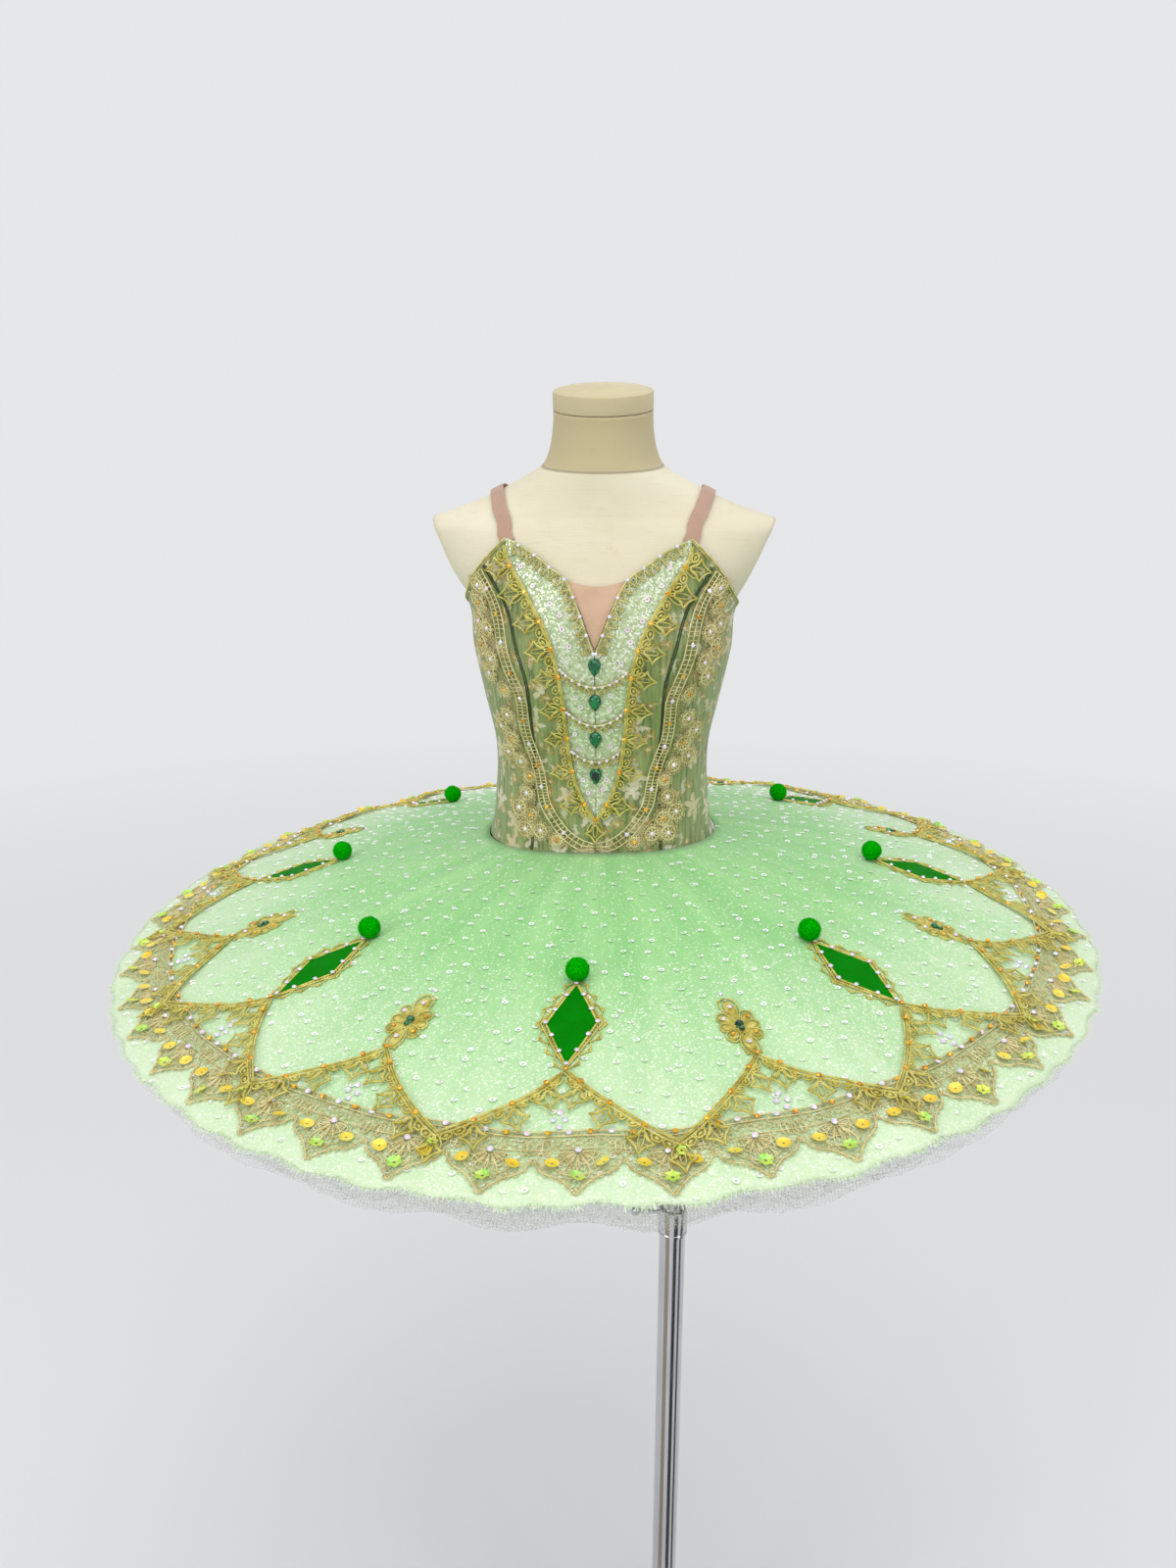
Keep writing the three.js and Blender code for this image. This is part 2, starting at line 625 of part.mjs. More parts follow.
function strap(side) {
  const at = ({ angle, height }, lift) => lifted(side * radians(angle), height, lift);
  const route = STRAP_ROUTE.map((row) => at(row, row.lift));
  const normals = STRAP_ROUTE.map((row) => at(row, 1).sub(at(row, 0)).normalize());
  const curve = new THREE.CatmullRomCurve3(route, false, 'centripetal');
  const edges = route.map((point, k) => {
    const tangent = curve.getTangent(k / (route.length - 1));
    const cross = tangent.clone().cross(normals[k]).normalize();
    const up = cross.clone().cross(tangent).normalize();
    return { point, cross, up };
  });
  const grid = (height) => edges.map(({ point, cross, up }) => [-1, 1].map((edge) =>
    point.clone().addScaledVector(cross, (edge * STRAP_WIDTH) / 2).addScaledVector(up, height)));
  return wallGeometry(grid(0), grid(STRAP_WALL));
}

const bodice = new THREE.Group();
bodice.position.z = WAIST_HEIGHT;
const SIDES = [{ word: 'right', sign: 1 }, { word: 'left', sign: -1 }];
for (const { word, sign } of SIDES) {
  for (const [name, edges] of Object.entries(PANELS)) {
    const cloth = name === 'plastron' ? PLASTRON_CLOTH : BROCADE;
    addMesh(bodice, `${name}_${word}`, bodicePanel(edges, sign), cloth);
  }
  addMesh(bodice, `strap_${word}`, strap(sign), NUDE);
}
addMesh(bodice, 'modesty_insert', modestyInsert(), NUDE);

// ---- trims sewn on the bodice ---------------------------------------------------

const TRIM_LOW = BODICE_OUTSIDE + TRIM_LIFT;
const TRIM_HIGH = TRIM_LOW + TRIM_WALL;
const onFront = (point, lift) => lifted(angleAcross(point.x, point.y), point.y, lift);
const mirrored = (points) => points.map((p) => new THREE.Vector2(-p.x, p.y)).reverse();

// The star points of the gold cord lace along the plastron seam.
const STAR_TIPS = [
  { across: 101.9, height: 201 },
  { across: 89.0, height: 179 },
  { across: 72.8, height: 154.5 },
  { across: 62.2, height: 131.5 },
  { across: 55.1, height: 107.7 },
  { across: 51.7, height: 76 },
  { across: 47.5, height: 45.5 },
  { across: 42.4, height: 11 },
  { across: 33.9, height: -22 },
];
const BOTTOM_STAR = { root: -38, tip: -57, halfWidth: 9, gapTop: -41, gapTip: -49, gapHalf: 4.4 };
const STAR = { rootRise: 4, halfGap: 4.4, gapFoot: 0.32, gapTip: 0.78, valley: 6, valleyDrop: 3 };
const LAST_VALLEY = { across: 14, height: -40 };
// The cord swags between the two arms of the lace.
const SWAGS = [
  { end: 117, middle: 99.5 },
  { end: 75, middle: 61 },
  { end: 34, middle: 23 },
];
const SWAG = { halfWidth: 2.8, shares: [-0.93, -0.5, 0, 0.5, 0.93], clear: 3 };
const LOWEST_GAP = { side: -16, foot: -24 };
const CORD_BAND = 2;              // the cord runs this far inside the seam
const ARM_TOP = { outer: 219, inner: 215, upper: 212, lower: 124, steps: 5 };

function seamAcross(height) {
  const rows = [...PLASTRON_SEAM].reverse();
  return smoothColumn(rows, 'across', height);
}

function plastronLace() {
  const outer = [];
  const gaps = [];
  const vector = (x, y) => new THREE.Vector2(x, y);
  STAR_TIPS.forEach((tip, k) => {
    const next = STAR_TIPS[k + 1] ?? LAST_VALLEY;
    const root = vector(seamAcross(tip.height + STAR.rootRise), tip.height + STAR.rootRise);
    const reach = vector(tip.across, tip.height).sub(root);
    const between = (tip.height + next.height) / 2 + STAR.rootRise;
    outer.push(vector(tip.across, tip.height));
    outer.push(vector(seamAcross(between) + STAR.valley, between - STAR.valleyDrop));
    const along = vector(-reach.y, reach.x).setLength(STAR.halfGap);
    const base = root.clone().addScaledVector(reach, STAR.gapFoot);
    const peak = root.clone().addScaledVector(reach, STAR.gapTip);
    gaps.push([base.clone().add(along), base.clone().sub(along), peak]);
  });
  const { root, tip, halfWidth, gapTop, gapTip, gapHalf } = BOTTOM_STAR;
  const start = vector(PLASTRON_SEAM[0].across + CORD_BAND, ARM_TOP.outer);
  const right = [start, ...outer, vector(halfWidth, root)];
  const outline = [...right, vector(0, tip), ...mirrored(right)];
  gaps.push(...gaps.map(mirrored));
  gaps.push([vector(-gapHalf, gapTop), vector(gapHalf, gapTop), vector(0, gapTip)]);

  const inside = (height) => vector(seamAcross(height) - CORD_BAND, height);
  const swag = ({ end, middle }, offset) => SWAG.shares.map((share) => {
    const height = middle + (end - middle) * share * share;
    return vector(share * (seamAcross(end) - CORD_BAND), height + offset);
  });
  const arm = (from, to, steps) => Array.from({ length: steps }, (_, k) =>
    inside(from + ((to - from) * (k + 0.5)) / steps));
  const armTop = vector(PLASTRON_SEAM[0].across - 2 * CORD_BAND, ARM_TOP.inner);
  const rim = [armTop, ...arm(ARM_TOP.upper, ARM_TOP.lower, ARM_TOP.steps)];
  outline.push(...mirrored(rim).reverse(), ...swag(SWAGS[0], SWAG.halfWidth), ...[...rim].reverse());
  SWAGS.forEach((row, k) => {
    const lower = swag(row, -SWAG.halfWidth);
    const below = SWAGS[k + 1];
    const floor = below ? swag(below, SWAG.halfWidth) : [vector(0, LOWEST_GAP.foot)];
    const from = row.end - SWAG.halfWidth - SWAG.clear;
    const to = below ? below.end + SWAG.halfWidth + SWAG.clear : LOWEST_GAP.side;
    const side = arm(from, to, 2);
    gaps.push([...lower, ...side, ...floor.reverse(), ...mirrored(side)]);
  });
  return cutworkGeometry(outline, gaps, onFront, TRIM_LOW, TRIM_HIGH);
}

// The lace along the neckline: a cord at the edge and picots towards the plastron. Its
// two arms meet below the notch.
const NECKLINE_LACE = { rows: 7, picots: 9, edge: 1, peak: 12.5, valley: 8.5, footAcross: 5, footDrop: 5.5 };
const NOTCH = { halfWidth: 0.9, floor: 0.6, foot: 3.8 };

function necklineLace() {
  const { rows, picots, edge, peak, valley, footAcross, footDrop } = NECKLINE_LACE;
  const notch = NECKLINE[0].height;
  const vector = (x, y) => new THREE.Vector2(x, y);
  const path = evenSteps(NECKLINE.slice(0, rows), picots, 'across', 'height')
    .map(({ across, height }) => vector(across, height));
  const side = (k) => {
    const ahead = path[Math.min(k + 1, picots)].clone().sub(path[Math.max(k - 1, 0)]).normalize();
    return vector(ahead.y, -ahead.x);
  };
  const inner = path.map((p, k) => p.clone().addScaledVector(side(k), edge));
  inner[0].set(NOTCH.halfWidth, notch);
  const outer = path.flatMap((p, k) => {
    const tip = p.clone().addScaledVector(side(k), peak);
    if (k === picots) return [tip];
    const middle = p.clone().add(path[k + 1]).multiplyScalar(0.5);
    return [tip, middle.addScaledVector(side(k), valley)];
  });
  const arm = [vector(footAcross, notch - footDrop), ...outer, ...inner.slice(1).reverse()];
  const outline = [...arm, vector(0, notch - NOTCH.floor), ...mirrored(arm), vector(0, notch - NOTCH.foot)];
  return cutworkGeometry(outline, [], onFront, TRIM_LOW, TRIM_HIGH);
}

// Rungs across the beige-gold lace, from its top at the armhole down to the centre of
// the hem: the inner edge towards the plastron and the scalloped outer edge.
const SIDE_LACE_RUNGS = [
  { inner: 43, innerHeight: 202, outer: 50, outerHeight: 194 },
  { inner: 41.5, innerHeight: 186, outer: 60, outerHeight: 177 },
  { inner: 40.4, innerHeight: 161, outer: 66, outerHeight: 150 },
  { inner: 37.5, innerHeight: 128, outer: 65, outerHeight: 118 },
  { inner: 33.8, innerHeight: 104, outer: 60, outerHeight: 94 },
  { inner: 31.6, innerHeight: 87, outer: 45, outerHeight: 81 },
  { inner: 32.0, innerHeight: 69, outer: 55, outerHeight: 62 },
  { inner: 32.2, innerHeight: 48, outer: 62, outerHeight: 40 },
  { inner: 29.0, innerHeight: 27, outer: 58, outerHeight: 14 },
  { inner: 26.5, innerHeight: 11, outer: 41, outerHeight: 3 },
  { inner: 25.0, innerHeight: -4, outer: 48, outerHeight: -16 },
  { inner: 23.0, innerHeight: -19, outer: 49, outerHeight: -41 },
  { inner: 18.0, innerHeight: -33, outer: 42, outerHeight: -57 },
  { inner: 12.5, innerHeight: -45, outer: 27, outerHeight: -62.5 },
  { inner: 6.5, innerHeight: -53, outer: 13, outerHeight: -63 },
];
const HEM_RUNG = { inner: 0, innerHeight: -57.5, outer: 0, outerHeight: -63 };

function sideLace() {
  const mirror = (rung) => ({ ...rung, inner: -rung.inner, outer: -rung.outer });
  const rungs = [...SIDE_LACE_RUNGS, HEM_RUNG, ...SIDE_LACE_RUNGS.map(mirror).reverse()];
  const columns = 2;
  const grid = (lift) => rungs.map((rung) => Array.from({ length: columns + 1 }, (_, j) => {
    const share = j / columns;
    const angle = rung.inner + (rung.outer - rung.inner) * share;
    const height = rung.innerHeight + (rung.outerHeight - rung.innerHeight) * share;
    return lifted(radians(angle), height, lift);
  }));
  return wallGeometry(grid(TRIM_LOW), grid(TRIM_HIGH));
}

// Pear-cut stones down the centre front, each placed on the bodice by its centre, with
// its round end up.
const STONES = [119.8, 85.4, 47.6, 10];
const STONE = { halfWidth: 5.8, length: 17, girdle: 1, bevel: 1.6, shoulder: 0.9, waist: 0.2, seat: 0.6 };

function pearStone() {
  const { halfWidth, length, girdle, bevel, shoulder, waist } = STONE;
  const round = length / 2 - halfWidth;
  const pear = new THREE.Shape();
  pear.moveTo(0, -length / 2);
  pear.quadraticCurveTo(halfWidth * shoulder, -length * waist, halfWidth, round);
  pear.absarc(0, round, halfWidth, 0, HALF, false);
  pear.quadraticCurveTo(-halfWidth * shoulder, -length * waist, 0, -length / 2);
  return new THREE.ExtrudeGeometry(pear, {
    depth: girdle, curveSegments: 2, bevelEnabled: true, bevelSegments: 1,
    bevelThickness: bevel, bevelSize: bevel, bevelOffset: -bevel,
  }).translate(0, 0, bevel);
}

const trims = new THREE.Group();
trims.position.z = WAIST_HEIGHT;
addMesh(trims, 'plastron_lace', plastronLace(), GOLD_CORD);
addMesh(trims, 'neckline_lace', necklineLace(), GOLD_CORD);
addMesh(trims, 'side_lace', sideLace(), ROSE_GOLD_LACE);
STONES.forEach((height, k) => {
  const stone = addMesh(trims, `stone_${k + 1}`, pearStone(), EMERALD);
  stone.position.copy(lifted(0, height, BODICE_OUTSIDE + STONE.seat));
  const upper = formPoint(0, height + STONE.length / 2);
  const lower = formPoint(0, height - STONE.length / 2);
  stone.rotation.x = HALF / 2 - Math.atan2(upper.y - lower.y, upper.z - lower.z);
});

// ---- the skirt ------------------------------------------------------------------

// The folds crowd together and part again round the plate, and some are shallower.
const FOLD_RHYTHM = { drift: 0.5, drifts: 3, shallowest: 0.5, swells: 5, shift: 0.8 };
const PLATE_RINGS = [0, 0.5, 0.8, 1];   // shares of the way from the bodice to the rim

// Height of the plate's top, from the pompom ring, at a place in plan.
function plateTop(x, y) {
  const radius = Math.hypot(x, y);
  const angle = Math.atan2(x, -y);
  const out = radius - PLATE_REFERENCE;
  const grown = Math.max((radius - FOLD_START) / (PLATE_RADIUS - FOLD_START), 0);
  const fold = FOLD_DEPTH * grown ** FOLD_GROWTH;
  const { drift, drifts, shallowest, swells, shift } = FOLD_RHYTHM;
  const wave = Math.sin(FOLDS * angle + drift * Math.sin(drifts * angle));
  const uneven = shallowest + (1 - shallowest) * (1 + Math.sin(swells * angle + shift)) / 2;
  return PLATE_RISE - PLATE_SLOPE * out - PLATE_DROOP * out * out + SIT_TILT * x + fold * wave * uneven;
}

const onPlate = (point, lift) => new THREE.Vector3(point.x, point.y, plateTop(point.x, point.y) + lift);
const polar = (radius, angle) => new THREE.Vector2(radius * Math.sin(angle), -radius * Math.cos(angle));

// Where a level ring round the hips lies in plan, at an angle in plan.
function hipRadius(angle, height, lift) {
  const { halfWidth, front, back, roundness } = sectionAt(height);
  const depth = Math.cos(angle) > 0 ? front : back;
  const wide = Math.abs(Math.sin(angle)) / (halfWidth + lift);
  const deep = Math.abs(Math.cos(angle)) / (depth + lift);
  return (wide ** roundness + deep ** roundness) ** (-1 / roundness);
}

function platePiece() {
  const segments = FOLDS * 4;
  const grid = (lift) => PLATE_RINGS.map((share) => Array.from({ length: segments }, (_, j) => {
    const angle = (j / segments) * TURN;
    const inner = hipRadius(angle, HEM_HEIGHT, BODICE_OUTSIDE + PLATE_INNER_GAP);
    return onPlate(polar(inner + (PLATE_RADIUS - inner) * share, angle), lift);
  }));
  return wallGeometry(grid(-PLATE_WALL), grid(0), true);
}

// The ruffled net layers below the plate: where each is sewn on, how far it reaches,
// how deep its rim hangs, and its ruffle.
const NETS = [
  { name: 'net_upper', sewn: -18, radius: 486, rim: -90, waves: 24, depth: 4.5 },
  { name: 'net_middle', sewn: -32, radius: 474, rim: -104, waves: 26, depth: 5 },
  { name: 'net_lower', sewn: -46, radius: 456, rim: -118, waves: 28, depth: 5 },
];
const NET_WALL = 1;
const RUFFLE_SHIFT = 0.4;         // turns the nets' ruffles off the plate's folds
const NET_SEAT = 0.9;             // from the knickers to the inner edge of a net
const NET_SEWN_DROP = 2;          // the hips are measured this far below the seam
const KNICKERS_CLEARANCE = 3.3;
const KNICKERS_OUTSIDE = KNICKERS_CLEARANCE + KNICKERS_WALL;

function netPiece({ sewn, radius, rim, waves, depth }) {
  const segments = waves * 3;
  const grid = (lift) => [0, 1].map((share) => Array.from({ length: segments }, (_, j) => {
    const angle = (j / segments) * TURN;
    const level = sewn - PLATE_DROP - NET_SEWN_DROP;
    const inner = hipRadius(angle, level, KNICKERS_OUTSIDE + NET_SEAT);
    const place = polar(inner + (radius - inner) * share, angle);
    const ruffle = depth * share * Math.sin((j / 3) * TURN + RUFFLE_SHIFT);
    const height = sewn + (rim - sewn) * share + ruffle + SIT_TILT * place.x + lift;
    return new THREE.Vector3(place.x, place.y, height);
  }));
  return wallGeometry(grid(0), grid(NET_WALL), true);
}

// The knickers: rows down the hips, then under the form. The spread is how far round
// the form the piece reaches, in degrees; under the form it narrows to the crotch.
const KNICKERS_ROWS = [
  { height: -77.5, spread: 90 },
  { height: -130, spread: 90 },
  { height: -160, spread: 82 },
  { height: -185, spread: 66 },
  { height: -212, spread: 50 },
  { height: -245, spread: 36 },
  { height: -268, spread: 28 },
  { height: -292, spread: 22 },
];
const KNICKERS_COLUMNS = 12;      // one to each column of the form's back or front
const CROTCH_HALF_WIDTH = 34;
const CROTCH_FLARE = 4;           // wider by this much where it turns under the form
const CROTCH_DROP = 0.4;          // below the form's underside, besides the clearance

function knickersPiece(facing) {
  const shares = Array.from({ length: KNICKERS_COLUMNS + 1 }, (_, k) => (2 * k) / KNICKERS_COLUMNS - 1);
  const turn = facing > 0 ? 0 : HALF;
  const grid = (lift) => {
    const rows = KNICKERS_ROWS.map(({ height, spread }) => shares.map((share) =>
      lifted(turn + share * (radians(spread) - SEAM_TURN), height, lift)));
    const { front, back } = sectionAt(FORM_BOTTOM);
    const depth = facing > 0 ? front : back;
    const level = FORM_BOTTOM - lift - CROTCH_DROP;
    const under = (out, half) => shares.map((share) =>
      new THREE.Vector3(share * half * facing, -facing * out, level));
    rows.push(under(depth - 2, CROTCH_HALF_WIDTH + CROTCH_FLARE), under(SEAM_GAP, CROTCH_HALF_WIDTH));
    return rows;
  };
  return wallGeometry(grid(KNICKERS_CLEARANCE), grid(KNICKERS_OUTSIDE));
}

const skirt = new THREE.Group();
skirt.position.z = WAIST_HEIGHT - PLATE_DROP;
addMesh(skirt, 'plate', platePiece(), PLATE_CLOTH);
for (const net of NETS) addMesh(skirt, net.name, netPiece(net), NET);
const knickers = new THREE.Group();
knickers.position.z = WAIST_HEIGHT;
addMesh(knickers, 'knickers_front', knickersPiece(1), KNIT);
addMesh(knickers, 'knickers_back', knickersPiece(-1), KNIT);

// ---- what is sewn on the plate ---------------------------------------------------

const LACE_LIFT = 1.35;           // from the plate to the lace that crosses its folds
const PLAQUE_LIFT = 0.7;          // from the plate to the lozenges and flowers
const RIM_LACE = { wall: 1, inner: 431, notch: 455, shoulder: 466, tip: 485, shoulderShare: 0.36 };
const RIM_PHASE = 2.1;            // degrees from the centre front to the nearest scallop's tip
const RIM_GAP = { foot: 441, tip: 457, halfShare: 0.12 };
const ARCH_OVER_RIM = { lift: 2.3, from: 395, to: 424 };   // it climbs on to the rim lace
const ARCH = { apex: 377.5, low: 446, halfPitch: 11.25, band: 9, apexBand: 16, wall: 1.2, bow: 0.2 };
const ARCH_GAP = { foot: 0.3, tip: 0.8 };                   // shares of a star point's length
// Star points on one side of an arch, from its low point to its apex: degrees from the
// apex to the root, the tip and the valley before it, and the tip's radius.
const ARCH_STARS = [
  { root: 11.25, tip: 11.25, valley: 11.25, reach: 471, halfGap: 4.2 },
  { root: 8.2, tip: 7.3, valley: 9.7, reach: 455, halfGap: 4.2 },
  { root: 5.0, tip: 3.7, valley: 6.6, reach: 435, halfGap: 4.2 },
  { root: 1.9, tip: 0.9, valley: 3.45, reach: 416, halfGap: 3.2 },
];

// The beige-gold rim lace: pointed scallops, each with one large drop-shaped gap.
function rimLace() {
  const { wall, inner, notch, shoulder, tip, shoulderShare } = RIM_LACE;
  const pitch = TURN / SCALLOPS;
  const outline = [];
  const innerEdge = [];
  const gaps = [];
  for (let k = 0; k < SCALLOPS; k += 1) {
    const middle = radians(RIM_PHASE) + k * pitch;
    const at = (share, radius) => polar(radius, middle + share * pitch);
    outline.push(at(-0.5, notch), at(-shoulderShare, shoulder), at(0, tip), at(shoulderShare, shoulder));
    innerEdge.push(at(0, inner), at(0.5, inner));
    const { foot, halfShare } = RIM_GAP;
    gaps.push([at(-halfShare, foot), at(0, RIM_GAP.tip), at(halfShare, foot)]);
  }
  return cutworkGeometry(outline, [innerEdge, ...gaps], onPlate, LACE_LIFT, LACE_LIFT + wall);
}

// A point of the line of arches, by its turn from the nearest apex.
function archLine(apex, turn) {
  const share = Math.abs(turn) / ARCH.halfPitch;
  const out = (1 + ARCH.bow) * share - ARCH.bow * share * share;
  const radius = ARCH.apex + (ARCH.low - ARCH.apex) * out;
  return polar(radius, apex + radians(turn));
}

// The gold cord lace along the arches: its cord line inside, its star points outside.
function archLace() {
  const { lift, from, to } = ARCH_OVER_RIM;
  const underside = (point) => LACE_LIFT + lift * THREE.MathUtils.smoothstep(point.length(), from, to);
  const outer = [];
  const inner = [];
  const gaps = [];
  const star = (apex, side, { root, tip, reach, halfGap }) => {
    const foot = archLine(apex, side * root);
    const point = polar(reach, apex + radians(side * tip));
    const axis = point.clone().sub(foot);
    const across = new THREE.Vector2(-axis.y, axis.x).setLength(halfGap);
    const base = foot.clone().addScaledVector(axis, ARCH_GAP.foot);
    const peak = foot.clone().addScaledVector(axis, ARCH_GAP.tip);
    outer.push(point);
    gaps.push([base.clone().add(across), base.clone().sub(across), peak]);
  };
  const valley = (apex, turn, depth) => {
    const line = archLine(apex, turn);
    outer.push(line.setLength(line.length() + depth));
  };
  const corner = (apex, turn) => inner.push(archLine(apex, turn));
  for (let k = 0; k < ARCHES; k += 1) {
    const apex = (k / ARCHES) * TURN;
    star(apex, -1, ARCH_STARS[0]);
    [-1, -0.5, 0, 0.5].forEach((share) => corner(apex, share * ARCH.halfPitch));
    ARCH_STARS.slice(1).forEach((row) => {
      valley(apex, -row.valley, ARCH.band);
      star(apex, -1, row);
    });
    valley(apex, 0, ARCH.apexBand);
    ARCH_STARS.slice(1).reverse().forEach((row) => {
      star(apex, 1, row);
      valley(apex, row.valley, ARCH.band);
    });
  }
  const place = (point, height) => onPlate(point, underside(point) + height);
  return cutworkGeometry(outer, [inner, ...gaps], place, 0, ARCH.wall);
}

// A plaque with a raised field: the border's outline, and the field's inside it.
function raisedPlaque(outline, field, low, rim, high) {
  const clockwise = THREE.ShapeUtils.isClockWise;
  const ring = clockwise(outline) ? [...outline].reverse() : outline;
  const inset = clockwise(field) ? field : [...field].reverse();
  const count = ring.length;
  const points = [...ring.map((p) => onPlate(p, low)), ...ring.map((p) => onPlate(p, rim)),
    ...inset.map((p) => onPlate(p, rim)), ...inset.map((p) => onPlate(p, high))];
  const triangles = [];
  for (const [i, j, k] of THREE.ShapeUtils.triangulateShape(ring, [])) triangles.push([i, k, j]);
  for (const [i, j, k] of THREE.ShapeUtils.triangulateShape(ring, [inset])) {
    triangles.push([i + count, j + count, k + count]);
  }
  for (let i = 0; i < count; i += 1) {
    const b = (i + 1) % count;
    triangles.push([i, b, b + count], [i, b + count, i + count]);
  }
  const foot = 2 * count;
  const crest = foot + inset.length;
  for (let i = 0; i < inset.length; i += 1) {
    const b = (i + 1) % inset.length;
    triangles.push([foot + i, crest + b, foot + b], [foot + i, crest + i, crest + b]);
  }
  for (let i = 1; i < inset.length - 1; i += 1) triangles.push([crest, crest + i + 1, crest + i]);
  return bodyGeometry(points, triangles);
}

// A green satin lozenge, raised inside its border of picot lace.
const LOZENGE = { middle: 328, inner: 284.5, outer: 371, halfWidth: 19, border: 6, picot: 9.5, point: 2 };
const LOZENGE_RIM = 1;            // thickness of the lace border
const LOZENGE_FIELD = 1.6;        // and of the satin inside it
const PICOT_SHARES = [0.177, 0.5, 0.823];   // of the way along a side

function lozenge(angle) {
  const { middle, inner, outer, halfWidth, border, picot, point } = LOZENGE;
  const direction = polar(1, angle);
  const sideways = new THREE.Vector2(-direction.y, direction.x);
  const plan = (along, across) => direction.clone().multiplyScalar(along).addScaledVector(sideways, across);
  const corners = [plan(inner, 0), plan(middle, halfWidth), plan(outer, 0), plan(middle, -halfWidth)];
  const centre = plan(middle, 0);
  const edge = [];
  corners.forEach((corner, k) => {
    const next = corners[(k + 1) % 4];
    const out = corner.clone().add(next).multiplyScalar(0.5).sub(centre);
    const side = next.clone().sub(corner).normalize();
    out.addScaledVector(side, -out.dot(side)).normalize();
    const tip = corner.clone().sub(centre);
    edge.push(corner.clone().addScaledVector(tip.normalize(), k % 2 === 0 ? point : picot));
    PICOT_SHARES.forEach((share, i) => {
      edge.push(corner.clone().lerp(next, share).addScaledVector(out, picot));
      if (i === PICOT_SHARES.length - 1) return;
      const between = (share + PICOT_SHARES[i + 1]) / 2;
      edge.push(corner.clone().lerp(next, between).addScaledVector(out, border));
    });
  });
  return raisedPlaque(edge, corners, PLAQUE_LIFT, PLAQUE_LIFT + LOZENGE_RIM, PLAQUE_LIFT + LOZENGE_FIELD);
}

// A corded flower with petals all round, a bud towards the waist and a drop outwards.
const FLOWER = { radius: 346, waist: 12, wall: 1.2 };
// How far each petal reaches, from the outermost one round to the bud and back.
const PETAL_REACHES = [30, 19.5, 16.6, 19.5, 31, 19.5, 16.6, 19.5];

function flower(angle) {
  const { radius, waist, wall } = FLOWER;
  const petals = PETAL_REACHES.length;
  const direction = polar(1, angle);
  const sideways = new THREE.Vector2(-direction.y, direction.x);
  const at = (turn, distance) => direction.clone().multiplyScalar(radius + distance * Math.cos(turn))
    .addScaledVector(sideways, distance * Math.sin(turn));
  const outline = PETAL_REACHES.flatMap((reach, k) => {
    const turn = (k / petals) * TURN;
    return [at(turn, reach), at(turn + HALF / petals, waist)];
  });
  return cutworkGeometry(outline, [], onPlate, PLAQUE_LIFT, PLAQUE_LIFT + wall);
}

// A wool pompom: a ball whose twenty short locks are fused at their roots.
function pompom() {
  const core = new THREE.IcosahedronGeometry(POMPOM_CORE, 0);
  const corners = core.attributes.position;
  const points = [];
  const triangles = [];
  for (let i = 0; i < corners.count; i += 3) {
    const face = [0, 1, 2].map((k) => new THREE.Vector3().fromBufferAttribute(corners, i + k));
    const tip = face[0].clone().add(face[1]).add(face[2]).setLength(POMPOM_RADIUS);
    const start = points.length;
    points.push(...face, tip);
    triangles.push([start, start + 1, start + 3], [start + 1, start + 2, start + 3],
      [start + 2, start, start + 3]);
  }
  return mergeVertices(bodyGeometry(points, triangles).deleteAttribute('normal'), 1e-3);
}

addMesh(skirt, 'rim_lace', rimLace(), ROSE_GOLD_LACE);
addMesh(skirt, 'arch_lace', archLace(), GOLD_CORD);
for (let k = 0; k < LOZENGES; k += 1) {
  const angle = (k / LOZENGES) * TURN;
  addMesh(skirt, `lozenge_${k + 1}`, lozenge(angle), GREEN_SATIN);
  addMesh(skirt, `flower_${k + 1}`, flower(angle + HALF / LOZENGES), GOLD_CORD);
  const ball = addMesh(skirt, `pompom_${k + 1}`, pompom(), POMPOM_WOOL);
  const place = polar(POMPOM_RING, angle);
  ball.position.copy(onPlate(place, POMPOM_RADIUS - POMPOM_SINK));
  ball.rotation.z = angle;
}

const tutu = new THREE.Group();
tutu.add(stand, form, bodice, trims, knickers, skirt);
export default tutu;
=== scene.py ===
import math

import bpy
import numpy as np
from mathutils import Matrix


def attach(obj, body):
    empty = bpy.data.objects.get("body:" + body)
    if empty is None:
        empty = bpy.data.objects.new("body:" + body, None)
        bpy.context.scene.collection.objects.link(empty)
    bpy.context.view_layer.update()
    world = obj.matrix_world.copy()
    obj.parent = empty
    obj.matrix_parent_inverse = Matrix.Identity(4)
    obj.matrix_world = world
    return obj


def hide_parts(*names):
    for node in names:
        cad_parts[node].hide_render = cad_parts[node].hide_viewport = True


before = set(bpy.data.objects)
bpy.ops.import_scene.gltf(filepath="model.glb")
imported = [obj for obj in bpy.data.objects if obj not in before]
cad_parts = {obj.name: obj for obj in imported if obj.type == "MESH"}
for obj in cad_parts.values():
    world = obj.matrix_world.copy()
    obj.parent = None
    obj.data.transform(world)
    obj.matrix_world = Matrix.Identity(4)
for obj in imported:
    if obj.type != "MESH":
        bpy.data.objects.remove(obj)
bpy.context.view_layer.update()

# ---- Studio -------------------------------------------------------------------
# A pale, seamless studio: a floor that runs out into the same pale grey, large soft
# panels above and in front, and a camera a little above the skirt, looking down on it.

scene = bpy.context.scene
scene.view_settings.view_transform = "Standard"

camera_data = bpy.data.cameras.new("studio_camera")
camera_data.lens = 27.05
camera_data.sensor_width = 36.0
camera = bpy.data.objects.new("studio_camera", camera_data)
camera.location = (0.082, -1.155, 1.6617)
camera.rotation_euler = (math.radians(72.52), 0.0, math.radians(4.77))
scene.collection.objects.link(camera)
scene.camera = camera


